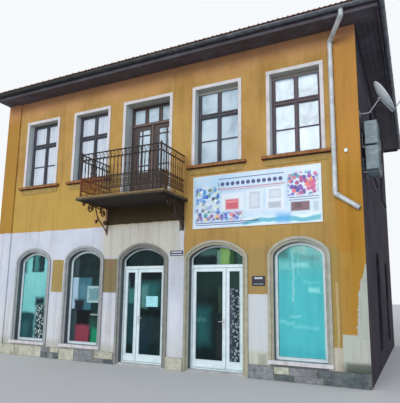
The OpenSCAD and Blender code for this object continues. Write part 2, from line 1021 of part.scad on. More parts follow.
module window_surrounds() {
    color(plaster) {
        at_front() {
            at_bays(upper_bays)
                into_wall(-surround_d, 0)
                    surround_ring(upper_win_w, win_z, win_top);
            at_bays([bay3_x])
                into_wall(-surround_d, 0)
                    surround_ring(balcony_door_w, balcony_top_z, win_top);
        }
        at_rear()
            at_bays(upper_bays)
                into_wall(-surround_d, 0)
                    surround_ring(upper_win_w, win_z, win_top);
        at_right()
            at_bays(flank_bays)
                into_wall(-surround_d, 0)
                    surround_ring(upper_win_w, win_z, win_top);
    }
}

module sill_and_apron() {
    union() {
        block(-half_sill, half_sill, -sill_d, 0, win_z - sill_t, win_z);
        block(
            -half_sill + apron_inset, half_sill - apron_inset,
            -apron_d, 0, win_z - sill_t - apron_h, win_z - sill_t
        );
    }
}

module window_sills() {
    color(ochre) {
        at_front()
            at_bays(upper_bays)
                sill_and_apron();
        at_rear()
            at_bays(upper_bays)
                sill_and_apron();
        at_right()
            at_bays(flank_bays)
                sill_and_apron();
    }
}

// A band has a proud outer moulding and a lower inner one
module arch_band(half, haunch, foot_z) {
    into_wall(-band_outer_d, 0)
        difference() {
            arch_outline(half, haunch, foot_z, band_w);
            arch_outline(half, haunch, foot_z - past, band_w / 2);
        }
    into_wall(-band_inner_d, 0)
        difference() {
            arch_outline(half, haunch, foot_z, band_w / 2);
            arch_outline(half, haunch, foot_z - past, 0);
        }
}

module arch_bands() {
    color("silver")
        at_front() {
            at_bays(shop_bays)
                arch_band(shop_half, window_haunch_r, shop_win_z);
            at_bays([bay3_x])
                arch_band(left_door_half, door_haunch_r, band_z);
            at_bays([bay4_x])
                arch_band(right_door_half, door_haunch_r, band_z);
        }
}

module shop_sills() {
    half_w = shop_half + band_w;
    color("lightgray")
        at_front()
            at_bays(shop_bays)
                block(
                    -half_w, half_w,
                    -shop_sill_d, 0, shop_win_z - shop_sill_t, shop_win_z
                );
}

// Upper windows: a frame with a mullion and a transom
transom_mid = win_z + upper_win_h * upper_transom_share;

module upper_window() {
    half = upper_win_w / 2;
    into_wall(upper_recess, upper_recess + upper_frame_d)
        difference() {
            square_at(-half, half, win_z, win_top);
            for (side = [-1, 1])
                translate([side * half / 2, 0]) {
                    square_at(
                        -half / 2 + (side > 0 ? upper_frame_w / 2 : upper_frame_w),
                        half / 2 - (side > 0 ? upper_frame_w : upper_frame_w / 2),
                        win_z + upper_frame_w, transom_mid - upper_transom_h / 2
                    );
                    square_at(
                        -half / 2 + (side > 0 ? upper_frame_w / 2 : upper_frame_w),
                        half / 2 - (side > 0 ? upper_frame_w : upper_frame_w / 2),
                        transom_mid + upper_transom_h / 2, win_top - upper_frame_w
                    );
                }
        }
}

module upper_window_panes() {
    half = upper_win_w / 2;
    mid_y = upper_recess + upper_frame_d / 2;
    for (side = [-1, 1])
        for (level = [0, 1])
            block(
                side * half / 2 - half / 2 + (side > 0 ? upper_frame_w / 2 : upper_frame_w),
                side * half / 2 + half / 2 - (side > 0 ? upper_frame_w : upper_frame_w / 2),
                mid_y - glass_t / 2, mid_y + glass_t / 2,
                level == 0 ? win_z + upper_frame_w : transom_mid + upper_transom_h / 2,
                level == 0 ? transom_mid - upper_transom_h / 2 : win_top - upper_frame_w
            );
}

module upper_windows() {
    color(timber) {
        at_front()
            at_bays(upper_bays)
                upper_window();
        at_rear()
            at_bays(upper_bays)
                upper_window();
        at_right()
            at_bays(flank_bays)
                upper_window();
    }
}

// Balcony door: fixed frame, fanlight of three lights, two leaves with a
// panel below and glass above
fanlight_z = win_top - balcony_fanlight_h;
balcony_clear = balcony_door_w / 2 - upper_frame_w;

module balcony_door_holes() {
    third = (2 * balcony_clear - 2 * upper_frame_w) / 3;
    for (i = [0:2])
        square_at(
            -balcony_clear + i * (third + upper_frame_w),
            -balcony_clear + i * (third + upper_frame_w) + third,
            fanlight_z + upper_frame_w, win_top - upper_frame_w
        );
    for (side = [-1, 1])
        translate([side * balcony_clear / 2, 0])
            square_at(
                -balcony_clear / 2 + balcony_stile_w,
                balcony_clear / 2 - balcony_stile_w,
                balcony_door_z + upper_frame_w + balcony_panel_h,
                fanlight_z - balcony_stile_w
            );
}

module balcony_door() {
    half = balcony_door_w / 2;
    color(timber)
        at_front()
            at_bays([bay3_x])
                into_wall(balcony_door_recess, balcony_door_recess + upper_frame_d)
                    difference() {
                        square_at(-half, half, balcony_door_z, win_top);
                        balcony_door_holes();
                    }
}

module upper_glass() {
    mid_y = balcony_door_recess + upper_frame_d / 2;
    color(pane, 0.5) {
        at_front() {
            at_bays(upper_bays)
                upper_window_panes();
            at_bays([bay3_x])
                into_wall(mid_y - glass_t / 2, mid_y + glass_t / 2)
                    balcony_door_holes();
        }
        at_rear()
            at_bays(upper_bays)
                upper_window_panes();
        at_right()
            at_bays(flank_bays)
                upper_window_panes();
    }
}

// Shop windows: one pane in an arched frame
module shop_window() {
    into_wall(shop_recess, shop_recess + shop_frame_d)
        difference() {
            shop_opening(shop_win_z);
            shop_opening(shop_win_z + shop_frame_w, -shop_frame_w);
        }
}

module shop_windows() {
    color(pvc) {
        at_front()
            at_bays(shop_bays)
                shop_window();
        at_rear()
            at_bays(shop_bays)
                shop_window();
        at_right()
            at_bays(flank_bays)
                shop_window();
    }
}

module shop_pane() {
    mid_y = shop_recess + shop_frame_d / 2;
    into_wall(mid_y - glass_t / 2, mid_y + glass_t / 2)
        shop_opening(shop_win_z + shop_frame_w, -shop_frame_w);
}

module fanlight_hole(half) {
    arch_outline(half, door_haunch_r, transom_z + transom_h, -jamb_w);
}

module ground_glass() {
    mid_y = shop_recess + shop_frame_d / 2;
    color(pane, 0.5) {
        at_front() {
            at_bays(shop_bays)
                shop_pane();
            at_bays([bay3_x])
                into_wall(mid_y - glass_t / 2, mid_y + glass_t / 2)
                    fanlight_hole(left_door_half);
            at_bays([bay4_x])
                into_wall(mid_y - glass_t / 2, mid_y + glass_t / 2)
                    fanlight_hole(right_door_half);
        }
        at_rear()
            at_bays(shop_bays)
                shop_pane();
        at_right()
            at_bays(flank_bays)
                shop_pane();
    }
}

// Doors: each frame has two jambs, a threshold, a transom and a fanlight.
// The leaves hang on pins that stand on lugs of the frame and open inwards.
frame_y0 = shop_recess;
frame_y1 = shop_recess + shop_frame_d;
leaf_y1 = frame_y1;
leaf_y0 = leaf_y1 - leaf_t;
leaf_z0 = ground_floor_t + threshold_h + leaf_gap;
leaf_z1 = transom_z - leaf_gap;
knuckle_r = hinge_pin_r + hinge_clear + knuckle_wall;
pivot_y = leaf_y1 + knuckle_r + knuckle_gap;
hinge_zs = [leaf_z0 + hinge_low, leaf_z1 - hinge_high];

function leaf_edge(half) = half - jamb_w - leaf_gap;
function main_leaf_w(half, side_w) = 2 * leaf_edge(half) - side_w - meeting_gap;

// A lug reaches from the jamb to the pin, and is round about the pin so that
// the leaf turns past it
module hinge_lug(half, side) {
    x0 = side * leaf_edge(half);
    jamb_x = side * (half - jamb_w / 3);
    for (z = hinge_zs) {
        block(
            min(x0, jamb_x), max(x0, jamb_x),
            frame_y1, pivot_y + hinge_pin_r,
            z - lug_h, z
        );
        translate([x0, pivot_y, z - lug_h])
            cylinder(h = lug_h, r = knuckle_r);
        translate([x0, pivot_y, z - lug_h / 2])
            cylinder(h = lug_h / 2 + knuckle_h + pin_past, r = hinge_pin_r);
    }
}

module door_frame(half) {
    union() {
        into_wall(frame_y0, frame_y1)
            difference() {
                arch_outline(half, door_haunch_r, ground_floor_t);
                fanlight_hole(half);
                square_at(
                    -half + jamb_w, half - jamb_w,
                    ground_floor_t + threshold_h, transom_z
                );
            }
        hinge_lug(half, -1);
        hinge_lug(half, 1);
    }
}

module door_frames() {
    color(pvc)
        at_front() {
            at_bays([bay3_x])
                door_frame(left_door_half);
            at_bays([bay4_x])
                door_frame(right_door_half);
        }
}

module leaf_hole(xa, xb) {
    square_at(xa + stile_w, xb - stile_w, leaf_z0 + bottom_rail_h, leaf_z1 - stile_w);
}

// A leaf from its hinge edge at x0 to x1, with the knuckles at x0
module leaf(x0, x1) {
    xa = min(x0, x1);
    xb = max(x0, x1);
    side = x1 > x0 ? 1 : -1;
    difference() {
        union() {
            into_wall(leaf_y0, leaf_y1)
                difference() {
                    square_at(xa, xb, leaf_z0, leaf_z1);
                    leaf_hole(xa, xb);
                }
            for (z = hinge_zs) {
                translate([x0, pivot_y, z + hinge_clear])
                    cylinder(h = knuckle_h, r = knuckle_r);
                block(
                    min(x0, x0 + side * hinge_plate_w), max(x0, x0 + side * hinge_plate_w),
                    leaf_y1, pivot_y - hinge_pin_r / 2,
                    z + hinge_clear, z + hinge_clear + knuckle_h
                );
            }
        }
        for (z = hinge_zs)
            translate([x0, pivot_y, z - past])
                cylinder(h = knuckle_h + 2 * past, r = hinge_pin_r + hinge_clear);
    }
}

module leaf_pane(x0, x1) {
    mid_y = (leaf_y0 + leaf_y1) / 2;
    into_wall(mid_y - glass_t / 2, mid_y + glass_t / 2)
        leaf_hole(min(x0, x1), max(x0, x1));
}

// Hinge edge and free edge of each leaf, from the front's middle
left_side_x = [
    bay3_x - leaf_edge(left_door_half),
    bay3_x - leaf_edge(left_door_half) + left_side_leaf_w
];
left_main_x = [
    bay3_x + leaf_edge(left_door_half),
    bay3_x - leaf_edge(left_door_half) + left_side_leaf_w + meeting_gap
];
right_side_x = [
    bay4_x + leaf_edge(right_door_half),
    bay4_x + leaf_edge(right_door_half) - right_side_leaf_w
];
right_main_x = [
    bay4_x - leaf_edge(right_door_half),
    bay4_x + leaf_edge(right_door_half) - right_side_leaf_w - meeting_gap
];

module left_main_leaf() {
    color(pvc)
        at_front()
            leaf(left_main_x[0], left_main_x[1]);
}

module left_main_glass() {
    color(pane, 0.5)
        at_front()
            leaf_pane(left_main_x[0], left_main_x[1]);
}

module left_side_leaf() {
    color(pvc)
        at_front()
            leaf(left_side_x[0], left_side_x[1]);
}

module left_side_glass() {
    color(pane, 0.5)
        at_front()
            leaf_pane(left_side_x[0], left_side_x[1]);
}

module right_main_leaf() {
    color(pvc)
        at_front()
            leaf(right_main_x[0], right_main_x[1]);
}

module right_main_glass() {
    color(pane, 0.5)
        at_front()
            leaf_pane(right_main_x[0], right_main_x[1]);
}

module right_side_leaf() {
    color(pvc)
        at_front()
            leaf(right_side_x[0], right_side_x[1]);
}

module right_side_glass() {
    color(pane, 0.5)
        at_front()
            leaf_pane(right_side_x[0], right_side_x[1]);
}

// A lever handle on each face of a leaf's free stile; the lever points to
// the hinge side
module handle_pair(x0, x1) {
    side = x1 > x0 ? 1 : -1;
    x = x1 - side * stile_w / 2;
    for (face = [-1, 1])
        translate([x, face < 0 ? leaf_y0 : leaf_y1, handle_z])
            union() {
                translate([-plate_w / 2, face < 0 ? -plate_t : 0, -plate_h * 0.7])
                    cube([plate_w, plate_t, plate_h]);
                rotate([-face * 90, 0, 0])
                    cylinder(h = lever_out, r = lever_r);
                translate([side * lever_r, face * lever_out, 0])
                    rotate([0, -side * 90, 0])
                        cylinder(h = lever_l, r = lever_r);
            }
}

module left_door_handles() {
    color("gainsboro")
        at_front()
            handle_pair(left_main_x[0], left_main_x[1]);
}

module right_door_handles() {
    color("gainsboro")
        at_front()
            handle_pair(right_main_x[0], right_main_x[1]);
}

// Balcony
balcony_top_z = upper_floor_z - balcony_drop;
balcony_x0 = bay3_x - balcony_left;
balcony_x1 = bay3_x + balcony_right;
rail_x0 = balcony_x0 + rail_left_inset;
rail_x1 = balcony_x1 - rail_right_inset;
rail_y = -balcony_d + rail_front_inset;

module balcony_slab() {
    color("dimgray")
        at_front()
            block(
                balcony_x0, balcony_x1, -balcony_d, 0,
                balcony_top_z - balcony_t, balcony_top_z
            );
}

// A flat bar bent to part of a circle in an upright plane along X; angles run
// from X towards Z
module bend(r, bar, depth, from, sweep) {
    translate([0, depth / 2, 0])
        rotate([90, 0, 0])
            rotate([0, 0, from])
                rotate_extrude(angle = sweep)
                    translate([r - bar / 2, 0])
                        square([bar, depth]);
}

module scroll_ring(r) {
    translate([0, scroll_bar / 2, 0])
        rotate([90, 0, 0])
            linear_extrude(scroll_bar)
                difference() {
                    circle(r);
                    circle(r - scroll_bar);
                }
}

// An S of two bends between the second rail and the hand rail
module frieze_scroll(z0, z1) {
    r = (z1 - z0 + 2 * scroll_lap - scroll_bar) / 4;
    mid_z = (z0 + z1) / 2;
    translate([0, 0, mid_z + r])
        bend(r, scroll_bar, scroll_bar, 0, 270);
    translate([0, 0, mid_z - r])
        bend(r, scroll_bar, scroll_bar, 180, 270);
}

// One side of the railing along X: four rails, balusters, rings over the
// bottom rail and scrolls under the hand rail; every fourth baluster runs
// from the slab to the hand rail
module rail_side(l) {
    count = ceil(l / baluster_pitch);
    pitch = l / count;
    ring_r = (pitch - baluster_w) / 2 + scroll_lap;
    frieze_z = rail_h - rail_frieze_h;
    block(0, l, -rail_post_w / 2, rail_post_w / 2, rail_h - rail_bar_t, rail_h);
    for (z = [rail_foot_h, frieze_z - rail_bar_t])
        block(0, l, -rail_bar_t / 2, rail_bar_t / 2, z, z + rail_bar_t);
    block(0, l, -baluster_w / 2, baluster_w / 2, rail_band_h, rail_band_h + baluster_w);
    for (i = [1:count - 1])
        block(
            i * pitch - baluster_w / 2, i * pitch + baluster_w / 2,
            -baluster_w / 2, baluster_w / 2,
            i % 4 == 0 ? 0 : rail_foot_h + rail_bar_t / 2,
            i % 4 == 0 ? rail_h - rail_bar_t / 2 : frieze_z - rail_bar_t / 2
        );
    for (i = [0:count - 1])
        translate([(i + 0.5) * pitch, 0, 0]) {
            for (z = [
                rail_foot_h + rail_bar_t - scroll_lap + ring_r,
                rail_band_h + scroll_lap - ring_r
            ])
                translate([0, 0, z])
                    scroll_ring(ring_r);
            frieze_scroll(frieze_z, rail_h - rail_bar_t);
        }
}

module railing_front() {
    color(iron)
        at_front()
            translate([rail_x0, rail_y, balcony_top_z])
                union() {
                    rail_side(rail_x1 - rail_x0);
                    for (x = [0, rail_x1 - rail_x0]) {
                        block(
                            x - rail_post_w / 2, x + rail_post_w / 2,
                            -rail_post_w / 2, rail_post_w / 2, 0, rail_h + post_cap_h / 2
                        );
                        translate([x, 0, rail_h + post_cap_h])
                            sphere(post_ball_r);
                    }
                }
}

// The side railings' bars are let into the wall; a sill's end lies between
// them
module railing_sides() {
    side_l = -rail_y - rail_post_w / 2;
    color(iron)
        at_front()
            for (x = [rail_x0, rail_x1])
                translate([x, 0, balcony_top_z])
                    rotate([0, 0, -90])
                        rail_side(side_l);
}

// A scroll of two bends that hangs from its top, and turns in from the left
// (way 1) or from the right (way -1)
module bracket_scroll(way) {
    turn_in = 30;
    shared = 6;
    r = bracket_scroll_r;
    bend(r, bracket_scroll_bar, bracket_scroll_t, way > 0 ? 90 : 150, 300);
    translate([way * r / 2 * cos(turn_in), 0, r / 2 * sin(turn_in)])
        bend(
            r / 2, bracket_scroll_bar * bracket_eye_share,
            bracket_scroll_t * bracket_eye_share,
            way > 0 ? turn_in - shared : -90, 240 + shared
        );
}

// A bracket in an upright plane along X, with the wall at X 0 and the slab's
// underside at Z 0: two straight bars, a long bend, two scrolls, two curls
module bracket() {
    reach = balcony_d - bracket_inset;
    scroll_in = bracket_bar + bracket_scroll_r + bracket_scroll_bar / 2 - scroll_lap;
    curl_bar = bracket_scroll_bar * bracket_eye_share;
    curl_t = bracket_scroll_t * bracket_eye_share;
    curl_in = bracket_bar + bracket_curl_r + curl_bar / 2 - scroll_lap;
    head = [-reach * bracket_bend_share, -bracket_bar / 2];
    foot = [-bracket_bar / 2, -bracket_h * bracket_foot_share];
    half_chord = norm(foot - head) / 2;
    to_centre = sqrt(bracket_bend_r ^ 2 - half_chord ^ 2) / (2 * half_chord);
    centre = (head + foot) / 2 + to_centre * [head[1] - foot[1], foot[0] - head[0]];
    from = atan2(head[1] - centre[1], head[0] - centre[0]);
    sweep = 2 * asin(half_chord / bracket_bend_r);
    curl_out = bracket_bend_r + bracket_curl_r + (bracket_scroll_bar + curl_bar) / 2 - scroll_lap;
    curl_at = from + sweep / 2;
    block(-reach, 0, -bracket_t / 2, bracket_t / 2, -bracket_bar, 0);
    block(-bracket_bar, 0, -bracket_t / 2, bracket_t / 2, -bracket_h, 0);
    translate([centre[0], 0, centre[1]])
        bend(bracket_bend_r, bracket_scroll_bar, bracket_scroll_t, from, sweep);
    translate([-reach * bracket_scroll_share, 0, -scroll_in])
        bracket_scroll(1);
    translate([-scroll_in, 0, -scroll_in])
        bracket_scroll(-1);
    translate([-reach + bracket_curl_r + curl_bar / 2, 0, -curl_in])
        bend(bracket_curl_r, curl_bar, curl_t, 90, 270);
    translate([
        centre[0] + curl_out * cos(curl_at), 0, centre[1] + curl_out * sin(curl_at)
    ])
        bend(bracket_curl_r, curl_bar, curl_t, curl_at + 180, 270);
}

module balcony_brackets() {
    color(iron)
        at_front()
            for (x = [rail_x0 - bracket_left_out, rail_x1 + bracket_right_out])
                translate([x, 0, balcony_top_z - balcony_t])
                    rotate([0, 0, 90])
                        bracket();
}

// Fittings
module sign_board() {
    top = win_z - sill_t - apron_h - sign_gap;
    color("lightcyan")
        at_front()
            block(
                balcony_x1 + sign_side_gap, half_l - sign_corner,
                -sign_t, 0, top - sign_h, top
            );
}

// A plate in the middle between the openings that end at x0 and start at x1
module wall_plate(x0, x1, share, foot_z, h) {
    mid_x = (x0 + x1) / 2;
    half_w = (x1 - x0 - 2 * band_w) * share / 2;
    block(mid_x - half_w, mid_x + half_w, -plate_sheet_t, 0, foot_z, foot_z + h);
}

module wall_plates() {
    color("midnightblue")
        at_front() {
            wall_plate(
                bay3_x + left_door_half, bay4_x - right_door_half,
                street_plate_share, spring_z + street_plate_up, street_plate_h
            );
            wall_plate(
                bay4_x + right_door_half, bay5_x - shop_half,
                number_plate_share, spring_z - number_plate_drop, number_plate_h
            );
        }
}

ac_x0 = half_l + ac_wall_gap;
ac_z = upper_floor_z + ac_up;

module ac_units() {
    color("lightgray")
        for (i = [0, 1])
            block(
                ac_x0, ac_x0 + ac_d,
                -half_d + ac_y, -half_d + ac_y + ac_w,
                ac_z + i * (ac_h + ac_gap), ac_z + i * (ac_h + ac_gap) + ac_h
            );
}

module ac_brackets() {
    color("silver")
        for (i = [0, 1])
            for (y = [ac_arm_inset, ac_w - ac_arm_inset])
                translate([half_l, -half_d + ac_y + y, ac_z + i * (ac_h + ac_gap)])
                    union() {
                        block(0, ac_arm_l, -ac_arm_t / 2, ac_arm_t / 2, -ac_arm_t, 0);
                        block(0, ac_arm_t / 2, -ac_arm_t / 2, ac_arm_t / 2, -ac_arm_t, ac_back_h);
                    }
}

// Satellite dish: a thin shell of revolution whose middle is flat, seated on
// a hub at the end of an arm from the flank
dish_centre = [half_l + dish_out, -half_d + dish_back, upper_floor_z + dish_up];
dish_way = [
    cos(dish_elevation) * cos(dish_turn),
    cos(dish_elevation) * sin(dish_turn),
    sin(dish_elevation)
];

function dish_bowl(shift, order) = [
    for (i = order)
        [
            dish_dia / 2 * i / dish_steps,
            dish_depth * pow(max(0, i - 1) / (dish_steps - 1), 2) - shift
        ]
];

module at_dish() {
    translate(dish_centre)
        rotate([0, 90 - dish_elevation, dish_turn])
            children();
}

module satellite_dish() {
    color("lightgray")
        at_dish()
            rotate_extrude()
                polygon(concat(
                    dish_bowl(dish_t, [0:dish_steps]),
                    dish_bowl(0, [dish_steps:-1:0])
                ));
}

// The mount: a plate on the flank, an arm to the hub behind the dish, a
// strut past the rim and the receiver head at its end
module dish_mount() {
    arm_z = dish_centre[2] - dish_arm_drop;
    arm_y = dish_centre[1];
    elbow = [half_l + dish_elbow_out, arm_y, arm_z];
    hub = dish_centre - (dish_t + dish_hub_l / 2) * dish_way;
    foot = [dish_dia / 2 + dish_strut_out, 0, 0];
    head = [foot[0] - dish_strut_lean, 0, dish_depth + dish_focus];
    color("gray")
        union() {
            block(
                half_l, half_l + dish_plate_t,
                arm_y - dish_plate / 2, arm_y + dish_plate / 2,
                arm_z - dish_plate / 2, arm_z + dish_plate / 2
            );
            rod([half_l + dish_plate_t / 2, arm_y, arm_z], elbow, dish_arm_r);
            translate(elbow)
                sphere(r = dish_arm_r + 1);
            rod(elbow, hub, dish_arm_r);
            at_dish() {
                translate([0, 0, -dish_t - dish_hub_l])
                    cylinder(h = dish_hub_l, r = dish_hub_r);
                rod([0, 0, -dish_t - dish_hub_l / 2], foot, dish_strut_r);
                translate(foot)
                    sphere(r = dish_strut_r + 1);
                rod(foot, head, dish_strut_r);
                translate(head - [0, 0, receiver_l / 2])
                    cylinder(h = receiver_l, r = receiver_r);
            }
        }
}

module junction_box() {
    box_z = upper_floor_z + box_up;
    color("white")
        at_front()
            block(
                half_l - box_corner - box_w, half_l - box_corner,
                -pilaster_d - box_d, -pilaster_d, box_z, box_z + box_h
            );
}

ground_floor();
front_wall_left();
front_pier();
front_wall_right();
front_arch_wall();
left_wall();
right_wall();
rear_wall();
upper_floor();
front_wall_upper();
left_wall_upper();
right_wall_upper();
rear_wall_upper();
attic_floor();
eaves_soffit();
fascia();
roof();
ridge_tiles();
gutter();
downpipe();
corner_pilasters();
plinth();
window_surrounds();
window_sills();
arch_bands();
shop_sills();
upper_windows();
upper_glass();
balcony_door();
shop_windows();
ground_glass();
door_frames();
left_main_leaf();
left_main_glass();
left_side_leaf();
left_side_glass();
right_main_leaf();
right_main_glass();
right_side_leaf();
right_side_glass();
left_door_handles();
right_door_handles();
balcony_slab();
balcony_brackets();
railing_front();
railing_sides();
sign_board();
wall_plates();
ac_units();
ac_brackets();
satellite_dish();
dish_mount();
junction_box();
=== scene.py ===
"""A two-storey corner shop of plastered brick, with arched shop windows and doors,
a wrought-iron balcony and a tiled roof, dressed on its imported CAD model."""
import math
import random
import bpy
from mathutils import Matrix, Vector


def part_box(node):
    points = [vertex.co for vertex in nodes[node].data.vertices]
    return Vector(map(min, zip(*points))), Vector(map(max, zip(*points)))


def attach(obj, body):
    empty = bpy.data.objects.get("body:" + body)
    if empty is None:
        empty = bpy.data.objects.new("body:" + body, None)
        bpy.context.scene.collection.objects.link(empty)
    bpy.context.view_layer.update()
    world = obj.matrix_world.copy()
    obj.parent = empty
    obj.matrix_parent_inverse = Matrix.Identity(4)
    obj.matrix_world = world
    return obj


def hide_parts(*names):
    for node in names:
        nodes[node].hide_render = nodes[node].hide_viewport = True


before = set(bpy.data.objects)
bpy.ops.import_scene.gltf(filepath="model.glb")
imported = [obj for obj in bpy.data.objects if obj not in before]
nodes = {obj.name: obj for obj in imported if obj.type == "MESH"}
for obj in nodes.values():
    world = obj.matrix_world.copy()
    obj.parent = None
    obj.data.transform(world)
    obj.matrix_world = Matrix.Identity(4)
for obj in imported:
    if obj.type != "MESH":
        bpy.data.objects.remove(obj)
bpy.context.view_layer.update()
random.seed(11)


# Camera: stands across the street to the right, at eye height, and looks a
# little up at the front. The lens covers 49 degrees over the frame's long side.
yaw, pitch, roll = math.radians(26.247), math.radians(9.546), math.radians(0.77)
ahead = Vector((
    -math.sin(yaw) * math.cos(pitch), math.cos(yaw) * math.cos(pitch), math.sin(pitch)))
level = Vector((math.cos(yaw), math.sin(yaw), 0))
upright = level.cross(ahead)
right = level * math.cos(roll) + upright * math.sin(roll)
over = upright * math.cos(roll) - level * math.sin(roll)
bpy.ops.object.camera_add()
camera = bpy.context.object
camera.name = "street_camera"
camera.matrix_world = Matrix((
    (right.x, over.x, -ahead.x, 6.051),
    (right.y, over.y, -ahead.y, -13.492),
    (right.z, over.z, -ahead.z, 1.705),
    (0, 0, 0, 1)))
camera.data.sensor_width = 36
camera.data.lens = 39.34
camera.data.shift_x = 0.0022
camera.data.shift_y = 0.0481
bpy.context.scene.camera = camera
bpy.context.scene.view_settings.view_transform = "Standard"


# Studio: a pale floor and a pale surround, an even soft light from all sides
# and one broad lamp nearly straight in front and a little above, so that the
# right flank and the eaves' underside lie in shade.
def linear(colour):
    """An sRGB hex colour as the linear colour that a socket takes."""
    parts = [int(colour[i:i + 2], 16) / 255 for i in (1, 3, 5)]
    return [c / 12.92 if c <= 0.04045 else ((c + 0.055) / 1.055) ** 2.4 for c in parts] + [1]


def feed(owner, node, given):
    """Sets a node's properties and inputs. A node or socket is linked to its input."""
    for key, value in given.items():
        if key == "stops":
            ramp = node.color_ramp.elements
            for place, colour in value[2:]:
                ramp.new(place)
            in_order = sorted(ramp, key=lambda e: e.position)
            for element, (place, colour) in zip(in_order, sorted(value)):
                element.position = place
                element.color = linear(colour)
        elif isinstance(value, bpy.types.Node):
            owner.node_tree.links.new(value.outputs[0], node.inputs[key])
        elif isinstance(value, bpy.types.NodeSocket):
            owner.node_tree.links.new(value, node.inputs[key])
        elif isinstance(key, str) and hasattr(node, key):
            setattr(node, key, value)
        else:
            node.inputs[key].default_value = linear(value) if isinstance(value, str) else value
    return node


def add(owner, kind, given={}):
    """Adds a node of this kind to a material or world, and feeds it."""
    return feed(owner, owner.node_tree.nodes.new("ShaderNode" + kind), given)


def wear(made, given, relief=None):
    """Feeds a material's shader. A relief is a height, its strength and its depth."""
    if relief:
        height, strength, deep = relief
        rough = add(made, "Bump", {"Strength": strength, "Distance": deep, "Height": height})
        given = {**given, "Normal": rough}
    feed(made, made.node_tree.nodes["Principled BSDF"], given)


def new_material(name):
    """A material, and the place of a point on its piece in metres."""
    made = bpy.data.materials.new(name)
    made.use_nodes = True
    return made, add(made, "TexCoord").outputs["Object"]


bpy.ops.mesh.primitive_plane_add(size=160, location=(0, 30, 0))
floor = bpy.context.object
floor.name = "studio_floor"
paving, _ = new_material("pale_studio_floor")
wear(paving, {"Base Color": "#d3d5d6", "Roughness": 0.9})
floor.data.materials.append(paving)

world = bpy.data.worlds.new("studio_light")
world.use_nodes = True
world.node_tree.nodes.clear()
ray = add(world, "LightPath")
seen = add(world, "Math",
    {"operation": "MAXIMUM", 0: ray.outputs["Is Camera Ray"], 1: ray.outputs["Is Glossy Ray"]})
seen = add(world, "Math",
    {"operation": "MAXIMUM", 0: seen, 1: ray.outputs["Is Transmission Ray"]})
soft = add(world, "Background", {"Color": "#eef2fa", "Strength": 0.66})
pale = add(world, "Background", {"Color": "#f6f9fc", "Strength": 1.0})
both = add(world, "MixShader", {0: seen, 1: soft, 2: pale})
add(world, "OutputWorld", {"Surface": both})
bpy.context.scene.world = world

bpy.ops.object.light_add(type="SUN", location=(-8, -14, 16))
lamp = bpy.context.object
lamp.name = "broad_lamp"
lamp.rotation_euler = Vector((0.10, 0.93, -0.30)).to_track_quat("-Z", "Y").to_euler()
lamp.data.energy = 1.45
lamp.data.angle = math.radians(28)


# Front walls: brick, rendered and limewashed. Ochre over the street front, white
# below on the left; rain streaks, worn patches and dirt at the foot show, a dark band under
# the balcony is partly soot and partly painted shade, and inside the openings the reveals
# are left whitish, with painted shade low down and on their heads.
def stained(made, under, colour, value, start, full, most=1, blend="MIX", step="LINEAR"):
    """Lays a colour over the colour so far as a value, or a place along an axis,
    goes from start to full."""
    if isinstance(value, str):
        place = add(made, "SeparateXYZ", {0: add(made, "TexCoord").outputs["Object"]})
        value = place.outputs["XYZ".index(value)]
    cover = add(made, "MapRange", {
        "interpolation_type": step, "From Min": start, "From Max": full, "To Max": most,
        "Value": value})
    return add(made, "MixRGB",
        {"blend_type": blend, "Fac": cover, "Color1": under, "Color2": colour})


def painted_area(owner, place, under, x0, x1, z0, z1, edge, strength, colour):
    """Lays a rectangle of another colour over the colour so far, with a worn edge."""
    away = add(owner, "VectorMath",
        {"operation": "SUBTRACT", 1: ((x0 + x1) / 2, 0, (z0 + z1) / 2), 0: place})
    away = add(owner, "VectorMath", {"operation": "ABSOLUTE", 0: away})
    away = add(owner, "VectorMath",
        {"operation": "SUBTRACT", 1: ((x1 - x0) / 2, 0, (z1 - z0) / 2), 0: away})
    apart = add(owner, "SeparateXYZ", {0: away})
    furthest = add(owner, "Math",
        {"operation": "MAXIMUM", 0: apart.outputs[0], 1: apart.outputs[2]})
    return stained(owner, under, colour, furthest, edge, -edge, strength, step="SMOOTHSTEP")


def dress(node_names, finish):
    """Gives these CAD nodes a finish in place of their slot's plain colour."""
    for name in node_names:
        nodes[name].data.materials.clear()
        nodes[name].data.materials.append(finish)


facade, spot = new_material("limewashed_render")
lumps = add(facade, "TexNoise", {"Scale": 3.1, "Detail": 5, "Roughness": 0.6, "Vector": spot})
shift = add(facade, "VectorMath",
    {"operation": "SUBTRACT", 1: (0.5, 0.5, 0.5), 0: lumps.outputs["Color"]})
shift = add(facade, "VectorMath", {"operation": "SCALE", "Scale": 0.06, 0: shift})
worn = add(facade, "VectorMath", {"operation": "ADD", 0: spot, 1: shift})
cloud = add(facade, "TexNoise", {"Scale": 0.85, "Detail": 7, "Roughness": 0.62, "Vector": spot})
ochre = add(facade, "ValToRGB", {"stops": [
    (0.30, "#ab8444"), (0.46, "#b89254"), (0.56, "#c09a58"), (0.70, "#caa75e")], 0: cloud})
white_mix = add(facade, "ValToRGB", {"stops": [
    (0.30, "#bfc4cf"), (0.45, "#cbd1de"), (0.60, "#d5dae6"), (0.72, "#dde0e8")], 0: cloud})
paint = ochre
